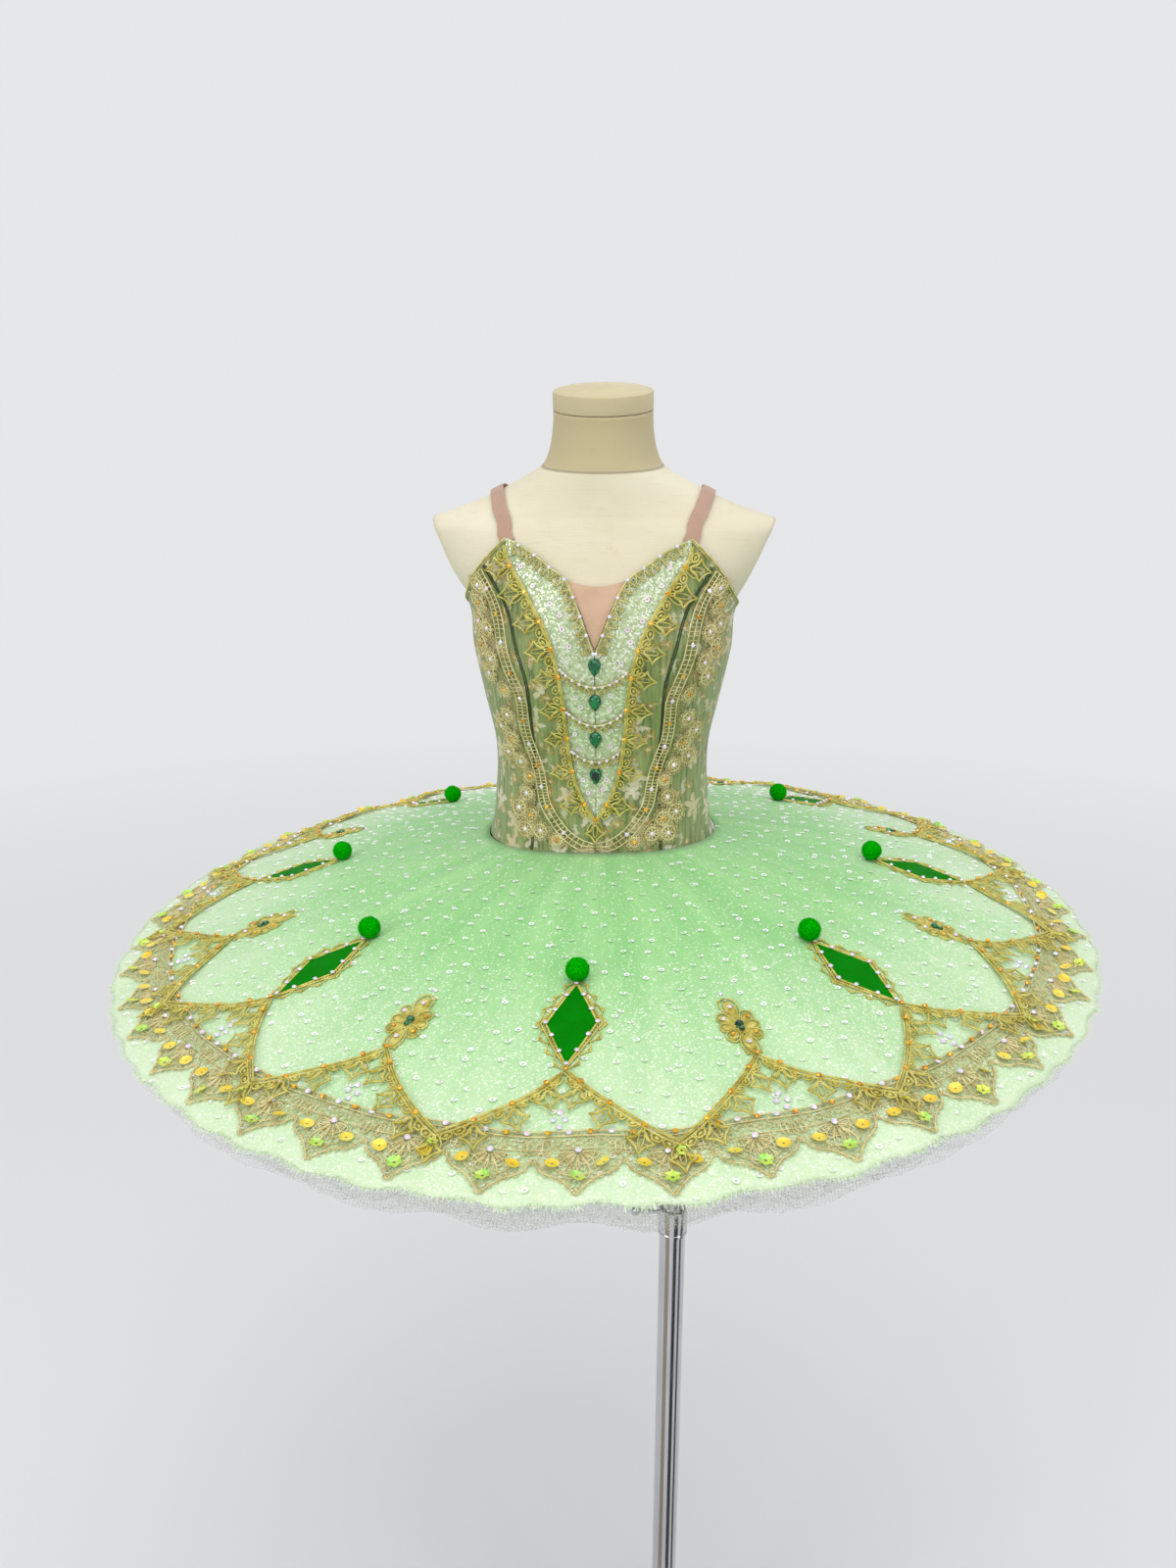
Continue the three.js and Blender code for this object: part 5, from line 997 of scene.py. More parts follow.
def scallop_lace(work, line, inward, pitch=8.6, depth=7.2):
    """Lace along a line: an edge cord, scallops to one side and a trefoil on each."""
    run = np.concatenate([[0], np.cumsum(np.linalg.norm(np.diff(line, axis=0), axis=1))])
    count = max(int(round(run[-1] / pitch)), 2)
    stops = np.column_stack([np.interp(np.linspace(0, run[-1], count + 1), run, line[:, k]) for k in (0, 1)])
    work.cord(line, 2.0)
    crystals = []
    for k in range(count):
        a, b = stops[k], stops[k + 1]
        middle = (a + b) / 2
        away = inward(middle) * depth
        inset, rise = 0.35 * (b - a) / 2, 0.62 * away
        arc = smooth_line([a, a + inset + rise, middle + away, b - inset + rise, b], 12)
        work.cord(arc, 1.5, sides=4)
        work.cord(oval(middle + 0.42 * away, b - a, 2.1, 1.5, 10), 1.0, closed=True, sides=4)
        for turn in (-1.05, 0.0, 1.05):
            reach = 1.9 if turn == 0.0 else 1.7
            cosine, sine = math.cos(turn), math.sin(turn)
            way = away / depth
            lean = np.array([cosine * way[0] - sine * way[1], sine * way[0] + cosine * way[1]])
            work.pad(middle + away + reach * lean, way, 1.15, 1.15, 1.7)
        crystals.append((a[0], a[1]))
    return crystals


fine_lace = Cordwork(lambda plan, lift: on_front(plan, TRIM_LIFT - 1.2 + lift))
rainbow_rows = []
for side, sign in SIDES:
    line = smooth_line([row for row in NECKLINE if row[1] < NECKLINE_LACE_TOP] + [(78, 227)], 90) * [sign, 1.0]
    line = line + np.array([sign * 1.0, -0.9])
    centre = np.array([sign * 95.0, 95.0])

    def down(spot, centre=centre):
        return unit(centre - spot)

    rainbow_rows += [(x, z, 1.75, TRIM_LIFT + 0.6) for x, z in scallop_lace(fine_lace, line, down)[::2]]
for ends, middle in SWAGS:
    half = seam_across(ends) - 2.0
    share = np.linspace(-0.97, 0.97, 50)
    line = np.column_stack([share * half, middle + (ends - middle) * share**2 + 2.0])
    found = scallop_lace(fine_lace, line, lambda spot: np.array([0.0, -1.0]), 7.2, 5.2)
    rainbow_rows += [(x, z, 1.6, TRIM_LIFT + 0.6) for x, z in found]
    rainbow_rows += [(x, z + 0.2, 1.6, TRIM_LIFT + 0.6) for x, z in (line[2], line[-3])]
gold_lace.sew("plastron_lace_cord", gold_cord, ["plastron_lace"])
fine_lace.sew("neckline_lace_cord", olive_cord, ["neckline_lace", "plastron_lace"])
sequin_rows = []
draw = np.random.default_rng(9)
for level in (205, 190, 176, 160, 150, 138, 126, 108, 92, 80, 66, 54, 40, 26, 8, -8):
    wide = seam_across(level) - 7.0
    low = 12.0 + max(level - 124.0, 0.0) * 0.55
    for sign in (-1, 1):
        across = sign * draw.uniform(min(low, wide - 3), wide)
        sequin_rows.append((across, level + draw.normal(0, 2), 2.4, BODICE_TOP + 0.3))
pale_sequin = sequin_finish("pink_iridescent_sequin", (0.86, 0.60, 0.80, 1.0), (0.93, 0.97, 0.95, 1.0), 0.1)
set_stones("plastron_sequins", ring_sequin(0.42, 0.10, sides=9), on_front, sequin_rows, pale_sequin, seed=8)
set_stones("bodice_topaz", brilliant(), on_front, topaz_rows, topaz, seed=3)
set_stones("neckline_crystals", brilliant(), on_front, rainbow_rows, rainbow_glass, seed=4)

# ---- Green pear stones -----------------------------------------------------------------
# Four pear-cut glass stones with foiled backs down the centre front, round end up, each
# sewn through its silvered setting.

STONES = [119.8, 85.4, 47.6, 10.0]
STONE_HALF = 5.8
STONE_LENGTH = 17.0
STONE_ROWS = [(0.97, 0.0), (1.0, 1.0), (0.82, 2.5), (0.56, 3.8)]   # share of the outline, height


def pear_outline(steps=20):
    turn = full_turn(steps)
    height = np.cos(turn)
    width = np.sin(turn) * np.sqrt(np.clip((1.0 + height) / 2, 0, 1)) ** 0.75
    width /= np.abs(width).max()
    return np.column_stack([STONE_HALF * width, STONE_LENGTH / 2 * height])


for k, centre in enumerate(STONES):
    outline = pear_outline()
    eye = np.array([0.0, 2.0])
    middle, ahead = (on_front(np.array([[0.0, centre]]), BODICE_TOP + lift)[0] for lift in (0.6, 1.6))
    up = unit(ahead - middle)
    upright = np.cross(up, [1.0, 0.0, 0.0])
    upright *= np.sign(upright[2])
    rings = []
    for share, height in STONE_ROWS:
        flat = eye + (outline - eye) * share
        rings.append(middle + MM * (flat[:, :1] * np.array([1.0, 0, 0]) + flat[:, 1:] * upright + height * up))
    count = len(outline)
    faces = [tuple(face) for face in grid_faces(4, count, closed=True)[:, ::-1]]
    faces += [tuple(range(count)), tuple(reversed(range(3 * count, 4 * count)))]
    mesh = bpy.data.meshes.new(f"pear_stone_{k + 1}")
    mesh.from_pydata([tuple(p) for p in np.concatenate(rings)], [], faces)
    mesh.update()
    add_piece(f"pear_stone_{k + 1}", mesh, emerald, "form", [f"stone_{k + 1}"])

# ---- Beige-gold lace round the front ---------------------------------------------------
# Softer metallic lace in one U from armhole to armhole: a netted braid on its inner edge
# and groups of rosettes with picot edges on its outer one, sewn down round both edges.

SIDE_LACE_RUNGS = np.array([
    # inner edge in degrees and its height, outer edge in degrees and its height
    (43, 202, 50, 194), (41.5, 186, 60, 177), (40.4, 161, 66, 150), (37.5, 128, 65, 118), (33.8, 104, 60, 94),
    (31.6, 87, 45, 81), (32, 69, 55, 62), (32.2, 48, 62, 40), (29, 27, 58, 14), (26.5, 11, 41, 3),
    (25, -4, 48, -16), (23, -19, 49, -41), (18, -33, 42, -57), (12.5, -45, 27, -62.5), (6.5, -53, 13, -63),
    (0, -57.5, 0, -63)], float)
BRAID_WIDTH = 10.0
ROSETTES = [
    # degrees, height, radius
    (49, 188, 6.5), (55, 172, 8.2), (59.5, 153, 8.6), (52, 147, 6.6), (58, 131, 8.8), (50, 120, 7.0),
    (54, 106, 8.0), (44, 92, 6.0), (46.5, 66, 6.4), (54.5, 52, 8.0), (47, 40, 7.4), (52, 25, 7.6), (42, 18, 6.2),
    (36, 4, 5.2), (38, -14, 6.4), (43, -30, 7.8), (34.5, -35, 6.6), (37.5, -50, 7.2), (28, -49, 6.6),
    (18.5, -56, 4.6)]


def lace_ground_finish(name, thread, shadow, cell):
    """The ground of machine lace: fine threads round small open cells."""
    material, tree, shader = new_finish(name)
    place = own_place(tree)
    cells = add_node(tree, "TexVoronoi", {"Vector": place, "Scale": 1.0 / cell, "Randomness": 0.7},
                     feature="DISTANCE_TO_EDGE").outputs["Distance"]
    solid = between(tree, cells, 0.0, 0.07, 1.0, 0.0)
    feed(tree, shader, {"Alpha": solid})
    wear = noise(tree, place, 300.0, 3.0)
    feed(tree, shader, {"Base Color": blend_colors(tree, between(tree, wear, 0.35, 0.65), shadow, thread),
                        "Metallic": 0.2, "Roughness": 0.55})
    emboss(tree, shader, cells, -0.5, 0.0006)
    return material


beige_ground = lace_ground_finish("beige_lace_ground", (0.74, 0.66, 0.34, 1.0), (0.42, 0.35, 0.12, 1.0), 0.0030)
beige_lace = Cordwork(lambda plan, lift: round_form(plan, TRIM_LIFT + lift))
side_topaz, side_crystals = [], []


def rosette(work, centre, radius, stretch=1.0):
    """A flower of cord loops: an eye, petals round it and a picot at the end of each. The
    stretch turns millimetres across into the plan's own measure."""
    scale = np.array([stretch, 1.0])
    petal_count = 8
    for share, thick in ((0.26, 0.9), (1.0, 1.4)):
        ring = oval((0, 0), (1, 0), share * radius, share * radius, 15) * scale
        work.cord(np.asarray(centre) + ring, thick, closed=True, sides=4)
    for k in range(petal_count):
        turn = 2 * math.pi * (k + 0.5) / petal_count
        way = np.array([math.cos(turn), math.sin(turn)])
        loop = leaf(0.28 * radius * way, 0.92 * radius * way, 0.42, 7)
        work.cord(np.asarray(centre) + loop * scale, 1.2, closed=True, sides=4)
    for k in range(12):
        way = np.array([math.cos(k * math.pi / 6), math.sin(k * math.pi / 6)])
        knot = oval((radius + 1.9) * way, way, 1.5, 1.5, 5)
        work.cord(np.asarray(centre) + knot * scale, 1.0, closed=True, sides=4)


fine_rungs = smooth_line(SIDE_LACE_RUNGS, 150)
for side, sign in SIDES:
    inner, outer = fine_rungs[:, :2], fine_rungs[:, 2:]
    per_degree = 1.0 / (form_point(np.radians(inner[:, 0] + 1), inner[:, 1])
                        - form_point(np.radians(inner[:, 0]), inner[:, 1]))[:, 0].clip(0.6, 2.2)
    width = np.minimum(BRAID_WIDTH, np.linalg.norm((outer - inner) / np.column_stack(
        [per_degree, np.ones(len(inner))]), axis=1) * 0.9)
    along = np.gradient(inner / np.column_stack([per_degree, np.ones(len(inner))]), axis=0)
    left = unit(np.column_stack([-along[:, 1], along[:, 0]]))
    to_plan = np.column_stack([per_degree, np.ones(len(inner))])

    def braid_line(share):
        return (inner + left * (width * share)[:, None] * to_plan) * [sign, 1.0]

    for share in (0.0, 0.5, 1.0):
        beige_lace.cord(braid_line(share), 1.25)
    low, high, crossing = braid_line(0.0), braid_line(0.5), braid_line(1.0)
    for k in range(0, len(inner) - 2, 2):
        for a, b in ((low, high), (high, crossing)):
            beige_lace.cord(np.linspace(a[k], b[k], 3), 1.05, lift=0.1, sides=4)
    for k, (degrees, height, radius) in enumerate(ROSETTES):
        here = np.radians([degrees, degrees + 1.0])
        span = np.linalg.norm(form_point(here[1], height) - form_point(here[0], height))
        rosette(beige_lace, (sign * degrees, height), radius, 1.0 / float(span))
        rows = side_topaz if k % 3 == 1 else side_crystals
        rows.append((sign * degrees, height, 2.2, TRIM_LIFT + 0.6))
    for k in range(8, 146, 13):
        spot = braid_line(0.5)[k]
        rows = side_topaz if k % 2 else side_crystals
        rows.append((spot[0], spot[1], 2.3, TRIM_LIFT + 0.8))
beige_lace.sew("side_lace_cord", beige_cord, ["side_lace"])
set_stones("side_lace_topaz", brilliant(), round_form, side_topaz, topaz, seed=5)
set_stones("side_lace_crystals", brilliant(), round_form, side_crystals, rainbow_glass, seed=6)

whole = np.concatenate([fine_rungs, fine_rungs[-2::-1] * [-1, 1, -1, 1]])
share = np.linspace(0.30, 0.93, 12)[None, :, None]
ground_plan = whole[:, None, :2] + (whole[:, None, 2:] - whole[:, None, :2]) * share
ground = [on_form(np.radians(ground_plan[..., 0]), ground_plan[..., 1], np.full(ground_plan.shape[:2], lift))
          for lift in (TRIM_LIFT - 0.5, TRIM_LIFT - 0.1)]
ground_flat = np.stack([ground[1][..., 0], ground[1][..., 2]], -1)
side_ground = cloth_shell("side_lace_ground", ground[1], ground[0], ground_flat, beige_ground, "form",
                          ["side_lace"])

# ---- Skirt plate ------------------------------------------------------------------
# The top layer of the skirt: a full circle of stiff mint net with a glittered, sequinned
# overlay, hooped flat, pleated softly from the hips and left raw at the rim.

PLATE_LEVEL = 1.225
PLATE_RADIUS = 491.0
FOLDS = 24


def plate_top(x, y):
    """Height of the plate's face above the pompom ring, in millimetres."""
    radius = np.hypot(x, y)
    angle = np.arctan2(x, -y)
    out = radius - 115.0
    fold = 2.2 * np.maximum((radius - 150.0) / 342.0, 0) ** 1.4
    wave = np.sin(FOLDS * angle + 0.5 * np.sin(3 * angle))
    uneven = 0.75 + 0.25 * np.sin(5 * angle + 0.8)
    return 26.0 - 0.205 * out - 0.00015 * out * out + 0.0323 * x + fold * wave * uneven


def on_plate(plan, lift):
    """A place on the plate from its plan, a row of x and y in millimetres."""
    x, y = plan[..., 0], plan[..., 1]
    return np.stack([x * MM, y * MM, PLATE_LEVEL + (plate_top(x, y) + lift) * MM], -1)


def on_cloth(plan, lift):
    """A place on the plate's cloth, with the soft pleats that run out from the hips."""
    x, y = plan[..., 0], plan[..., 1]
    radius, angle = np.hypot(x, y), np.arctan2(x, -y)
    reach = smooth_step(radius, 112, 160) * (1 - smooth_step(radius, 230, 300 + 40 * np.sin(9 * angle)))
    pleat = np.sin(34 * angle + 1.7 * np.sin(5 * angle) + 0.9 * np.sin(11 * angle))
    return on_plate(plan, lift + 0.9 * reach * pleat * (0.65 + 0.35 * np.sin(7 * angle + 2)))


def polar(radius, angle):
    radius, angle = np.broadcast_arrays(np.asarray(radius, float), np.asarray(angle, float))
    return np.stack([radius * np.sin(angle), -radius * np.cos(angle)], -1)


def hip_radius(angle, height, lift):
    """How far out the cloth on the hips lies in plan, at an angle and a height."""
    half, front, back, roundness = (smooth_column(FORM_SECTIONS, k, height) for k in (1, 2, 3, 4))
    depth = np.where(np.cos(angle) > 0, front, back)
    wide = np.abs(np.sin(angle)) / (half + lift)
    deep = np.abs(np.cos(angle)) / (depth + lift)
    return (wide**roundness + deep**roundness) ** (-1 / roundness)


def ring_shell(name, outside, inside, material, body, nodes):
    """A closed ring of cloth between two grids whose columns run all the way round."""
    rows, columns = outside.shape[:2]
    count = rows * columns
    faces = [grid_faces(rows, columns, closed=True)[:, ::-1], grid_faces(rows, columns, closed=True) + count]
    index = np.arange(columns)
    ahead = np.roll(index, -1)
    last = (rows - 1) * columns
    faces.append(np.stack([index, ahead, ahead + count, index + count], -1))
    faces.append(np.stack([index + count + last, ahead + count + last, ahead + last, index + last], -1))
    points = np.concatenate([outside.reshape(-1, 3), inside.reshape(-1, 3)])
    mesh = build_mesh(name, points, np.concatenate(faces))
    return add_piece(name, mesh, material, body, nodes)


def plate_finish():
    """Mint net under a glitter overlay: paler and denser in glitter towards the rim, with painted light and shade
    in streaks along its soft radial folds, and the fine mesh of the net."""
    material, tree, shader = new_finish("plate_glitter_net")
    place = own_place(tree)
    split = add_node(tree, "SeparateXYZ", {0: place})
    x, y = split.outputs[0], split.outputs[1]
    radius = calculate(tree, "SQRT", calculate(tree, "MULTIPLY_ADD", x, x, calculate(tree, "MULTIPLY", y, y)))
    angle = calculate(tree, "ARCTAN2", x, y)
    ring = add_node(tree, "CombineXYZ", {
        0: calculate(tree, "MULTIPLY", calculate(tree, "COSINE", angle), 9.0),
        1: calculate(tree, "MULTIPLY", calculate(tree, "SINE", angle), 9.0),
        2: calculate(tree, "MULTIPLY", radius, 4.0)}).outputs[0]
    streak = noise(tree, ring, 1.0, 5.0, 0.6)
    cloud = noise(tree, place, 7.0, 4.0)
    rim = between(tree, calculate(tree, "MULTIPLY_ADD", cloud, 0.10, radius), 0.30, 0.50)
    tone = blend_colors(tree, rim, (0.26, 0.60, 0.205, 1.0), (0.49, 0.73, 0.40, 1.0))
    # Painted light and shade: the streaks, which also raise the folds' relief, are painted lighter along the
    # ridges.
    tone = blend_colors(tree, between(tree, streak, 0.38, 0.66, 0.0, 0.75), tone,
                        blend_colors(tree, rim, (0.37, 0.70, 0.28, 1.0), (0.66, 0.83, 0.55, 1.0)))
    tone = blend_colors(tree, between(tree, radius, 0.455, 0.49, 0.0, 0.5), tone, (0.76, 0.84, 0.62, 1.0))
    cells = add_node(tree, "TexVoronoi", {"Vector": place, "Scale": 1050.0, "Randomness": 1.0})
    lot = add_node(tree, "SeparateColor", {0: cells.outputs["Color"]})
    coarse = add_node(tree, "TexVoronoi", {"Vector": place, "Scale": 620.0, "Randomness": 1.0})
    coarse_lot = add_node(tree, "SeparateColor", {0: coarse.outputs["Color"]})
    amount = between(tree, rim, 0.0, 1.0, 0.95, 0.72)
    spark = calculate(tree, "GREATER_THAN", lot.outputs[0], amount)
    dust = calculate(tree, "GREATER_THAN", coarse_lot.outputs[0], between(tree, rim, 0.0, 1.0, 0.97, 0.88))
    flake = blend_colors(tree, lot.outputs[1], (0.60, 0.82, 0.36, 1.0), (0.90, 0.96, 0.82, 1.0))
    tone = blend_colors(tree, calculate(tree, "MULTIPLY", spark, 0.75), tone, flake)
    tone = blend_colors(tree, calculate(tree, "MULTIPLY", dust, 0.5), tone, (0.95, 0.98, 0.88, 1.0))
    feed(tree, shader, {"Base Color": tone, "Roughness": between(tree, spark, 0.0, 1.0, 0.62, 0.25)})
    shader.inputs["Sheen Weight"].default_value = 0.2
    relief = calculate(tree, "MULTIPLY_ADD", streak, 1.6, calculate(tree, "MULTIPLY", lot.outputs[2], 0.22))
    emboss(tree, shader, relief, 0.6, 0.0032)
    return material


PLATE_COLUMNS = 576
plate_angles = full_turn(PLATE_COLUMNS)
plate_inner = hip_radius(plate_angles, HEM, 4.4)
shares = np.concatenate([np.linspace(0, 0.9, 36), np.linspace(0.92, 1, 7)])[:, None]
rim_edge = PLATE_RADIUS - 2.0 + 1.6 * np.sin(61 * plate_angles + np.sin(7 * plate_angles))
radius = plate_inner + (rim_edge - plate_inner) * shares
plan = polar(radius, plate_angles[None, :])
ripple = 0.8 * smooth_step(radius, 300, 480) * np.sin(57 * plate_angles + 2 * np.sin(4 * plate_angles))
outside = on_cloth(plan, ripple * 0.5)
inside = on_cloth(plan, ripple * 0.5 - 1.2)
plate = ring_shell("plate_net", outside, inside, plate_finish(), "form", ["plate"])

# ---- Net layers -------------------------------------------------------------------
# Three tiers of stiff greyish net under the plate, each gathered on to the knickers and
# left raw at the rim, where the gathers open into ruffles.


def net_finish(name, color, cell, cover):
    """Stiff hexagonal net, seen as a haze of threads with open cells between them."""
    material, tree, shader = new_finish(name)
    place = own_place(tree)
    cells = add_node(tree, "TexVoronoi", {"Vector": place, "Scale": 1.0 / cell, "Randomness": 0.35},
                     feature="DISTANCE_TO_EDGE").outputs["Distance"]
    thread = between(tree, cells, 0.015, 0.045, 1.0, cover)
    split = add_node(tree, "SeparateXYZ", {0: place})
    level = add_node(tree, "CombineXYZ", {0: split.outputs[0], 1: split.outputs[1]}).outputs[0]
    radius = add_node(tree, "VectorMath", {0: level}, operation="LENGTH").outputs["Value"]
    thread = calculate(tree, "MULTIPLY", thread, between(tree, radius, 0.38, 0.46, 1.0, 0.45))
    cloud = noise(tree, place, 22.0, 3.0)
    tone = blend_colors(tree, between(tree, cloud, 0.3, 0.7), color, tuple(0.88 * x for x in color[:3]) + (1.0,))
    feed(tree, shader, {"Base Color": tone, "Roughness": 0.7})
    through = add_node(tree, "BsdfTranslucent", {"Color": tone})
    clear = add_node(tree, "BsdfTransparent")
    cloth = add_node(tree, "MixShader", {0: 0.6, 1: shader.outputs[0], 2: through.outputs[0]})
    net = add_node(tree, "MixShader", {0: thread, 1: clear.outputs[0], 2: cloth.outputs[0]})
    tree.links.new(net.outputs[0], tree.nodes["Material Output"].inputs["Surface"])
    return material


NETS = [
    # name, seam height, rim radius, rim height, ruffles, ruffle depth, small ruffles
    ("net_upper", -18, 485.5, -90, 24, 4.5, 96), ("net_middle", -32, 473.5, -104, 26, 5.0, 104),
    ("net_lower", -46, 455.5, -118, 28, 5.0, 112)]
net_cloth = net_finish("stiff_net", (0.90, 0.96, 0.86, 1.0), 0.0026, 0.02)
NET_COLUMNS = 672
net_angles = full_turn(NET_COLUMNS)
for name, sewn, rim_radius, rim_height, ruffles, depth, small in NETS:
    shares = np.linspace(0, 1, 10)[:, None]
    waist_line = hip_radius(net_angles, sewn - 98.0, 5.6)
    frill = np.sin(small * net_angles + 1.3 * np.sin(5 * net_angles)) * shares**2
    radius = waist_line + (rim_radius - 2.0 - waist_line) * shares + 1.6 * frill
    plan = polar(radius, net_angles[None, :])
    ruffle = depth * shares * np.sin(ruffles * net_angles + 0.4) + 1.5 * frill
    level = PLATE_LEVEL / MM + sewn + (rim_height - sewn) * shares + ruffle + 0.0323 * plan[..., 0]
    outside = np.concatenate([plan, (level + 0.9)[..., None]], -1) * MM
    inside = np.concatenate([plan, (level + 0.3)[..., None]], -1) * MM
    net = ring_shell(name + "_ruffle", outside, inside, net_cloth, "form", [name])

# ---- Knickers ---------------------------------------------------------------------
# Mint stretch knickers that carry the net layers, seamed at the sides and between the
# legs. The stand's pole passes through the leg opening on one side.

KNICKERS_ROWS = np.array([(-292, 22), (-268, 28), (-245, 36), (-212, 50), (-185, 66), (-160, 82), (-130, 90),
                          (-77.5, 90)], float)
knickers_knit = stretch_finish("knickers_knit", (0.30, 0.60, 0.33, 1.0), 260.0)
for facing, name in ((1, "knickers_front"), (-1, "knickers_back")):
    share = np.linspace(-1, 1, 49)
    turn = 0.0 if facing > 0 else math.pi
    levels = np.linspace(-77.5, -292, 40)
    spread = np.interp(levels, KNICKERS_ROWS[:, 0], KNICKERS_ROWS[:, 1])
    angle = turn + share[None, :] * (np.radians(spread)[:, None] - 0.002)
    height = np.repeat(levels[:, None], len(share), axis=1)
    depth = 74.0 if facing > 0 else 78.0
    walls = []
    for lift in (3.3, 4.4):
        wall = on_form(angle, height, np.full_like(angle, lift))
        turn_under = []
        for out, half, level in ((depth - 2, 38, -301), (depth * 0.6, 36, -301), (depth * 0.3, 35, -301),
                                 (0.3, 34, -301)):
            across = share * half * facing
            turn_under.append(np.stack([across * MM, np.full_like(share, -facing * out * MM),
                                        np.full_like(share, WAIST + (level - lift - 0.4) * MM)], -1))
        walls.append(np.concatenate([wall, np.array(turn_under)]))
    inside, outside = walls
    flat = np.stack(np.meshgrid(np.linspace(0, 0.33, len(outside)), share * 0.215, indexing="ij")[::-1], -1)
    knit = cloth_shell(name + "_knit", outside[::-1], inside[::-1], flat[::-1], knickers_knit, "form", [name])

# ---- Arch lace on the plate ------------------------------------------------------------
# The same gold cord lace laid in sixteen arches round the plate, star points outwards,
# sewn down along its braid and at each point.

ARCHES = 16
APEX_RADIUS = 377.5
ARCH_DROP = 68.5
HALF_ARCH = 11.25
ARCH_STARS = [
    # root in degrees from the apex, tip in degrees, radius of the tip
    (8.2, 7.3, 455), (5.0, 3.7, 435), (1.9, 0.9, 416)]
LOW_STAR = 471
ARCH_LIFT = 1.4


def on_lace(plan, lift):
    """A place on the plate, over the rim lace where the arches cross it."""
    radius = np.hypot(plan[..., 0], plan[..., 1])
    return on_plate(plan, ARCH_LIFT + 2.3 * smooth_step(radius, 395, 424) + lift)


def at_degrees(radius, degrees):
    return polar(radius, np.radians(degrees))


def arch_line(degrees):
    """The arches' line at an angle in degrees, where 0 is an apex."""
    share = np.abs((degrees + HALF_ARCH) % (2 * HALF_ARCH) - HALF_ARCH) / HALF_ARCH
    return at_degrees(APEX_RADIUS + ARCH_DROP * (1.2 * share - 0.2 * share**2), degrees)



arch_cords = Cordwork(on_lace)
braid(arch_cords, arch_line(np.linspace(0, 360, ARCHES * 26, endpoint=False)), 1.9, 1.7, closed=True)
arch_topaz, arch_sequins, field_crystals = [], [], []
for k in range(ARCHES):
    apex = 2 * HALF_ARCH * k
    low = apex + HALF_ARCH
    star_point(arch_cords, arch_line(low), at_degrees(LOW_STAR, low), 2.1)
    arch_sequins.append((*at_degrees(453.0, low), 4.6, 3.4 + ARCH_LIFT))
    arch_topaz.append((*arch_line(apex), 2.3, 2.6 + ARCH_LIFT))
    for sign in (-1, 1):
        stars = [(sign * root + apex, at_degrees(reach, sign * tip + apex)) for root, tip, reach in ARCH_STARS]
        star_lace(arch_cords, arch_line, stars, unit, apex + sign * 0.1)
        for share in (0.33, 0.67):
            at = apex + sign * (8.2 + 3.05 * share)
            way = unit(arch_line(at))
            centre = arch_line(at) + 5.4 * way
            toward = arch_line(at + 0.2) - arch_line(at - 0.2) + 0.15 * way
            arch_cords.cord(oval(centre, toward, 4.3, 3.0), 1.7, closed=True, sides=4)
            arch_cords.pad(centre, toward, 2.3, 1.2, 1.7)
        for root, _, _ in ARCH_STARS:
            arch_topaz.append((*arch_line(apex + sign * root), 2.5, 2.6 + ARCH_LIFT + 0.6))
    for turn, radius in ((-0.6, 421.0), (0.6, 421.5), (0.0, 414.5), (0.1, 427.5)):
        field_crystals.append((*at_degrees(radius, apex + turn), 2.7, 0.3))
arch_cords.sew("arch_lace_cord", gold_cord, ["arch_lace"])
set_stones("arch_topaz", brilliant(), on_plate, arch_topaz, topaz, seed=11)
set_stones("field_crystals", brilliant(), on_plate, field_crystals, rainbow_glass, seed=12)
green_sequin = sequin_finish("green_iridescent_sequin", (0.25, 0.75, 0.12, 1.0), (0.86, 0.86, 0.06, 1.0), 0.25)
set_stones("arch_sequins", ring_sequin(0.2, 0.22, sides=12, lobes=6, lobe_depth=0.25), on_plate, arch_sequins,
           green_sequin, seed=13, tilt=0.16)

# ---- Rim lace --------------------------------------------------------------------------
# Beige-gold machine lace round the rim: a double upper cord, forty-five pointed scallops
# worked as fans of loops with picot edges, and sequins and crystals sewn on.

SCALLOPS = 45
SCALLOP_PITCH = 360.0 / SCALLOPS
FIRST_TIP = 2.1
RIM_LIFT = 1.35
RIM_MIDDLE = 458.0


def in_scallop(spots, turn):
    """Plan places from millimetres across a scallop and its radius, at the scallop's turn."""
    spots = np.asarray(spots, float)
    return polar(spots[..., 1], np.radians(turn) + spots[..., 0] / RIM_MIDDLE)


rim_cords = Cordwork(lambda plan, lift: on_plate(plan, RIM_LIFT + lift))
round_turn = np.linspace(0, 360, 360, endpoint=False)
for radius, thick in ((432.6, 1.5), (436.6, 1.3), (447.5, 0.9)):
    rim_cords.cord(at_degrees(radius, round_turn), thick, closed=True, sides=4)
FAN_CENTRE = (0.0, 450.0)
EDGE = smooth_line([(-31.6, 454.5), (-27.5, 462), (-22.5, 466.5), (-14, 470), (-6.5, 476), (0, 484.0)], 14)
fan_lines = [(EDGE, 1.3, False), (EDGE * [-1, 1], 1.3, False)]
for turn in (-75, -45, -15, 15, 45, 75):
    way = np.array([math.sin(math.radians(turn)), math.cos(math.radians(turn))])
    reach = 15.0 + 9.0 * max(math.cos(math.radians(2 * turn)), 0)
    fan_lines.append((leaf(FAN_CENTRE + 2.6 * way, FAN_CENTRE + reach * way, 0.30, 9), 1.1, True))
    fan_lines.append((leaf(FAN_CENTRE + 4.6 * way, FAN_CENTRE + 0.72 * reach * way, 0.22, 7), 0.8, True))
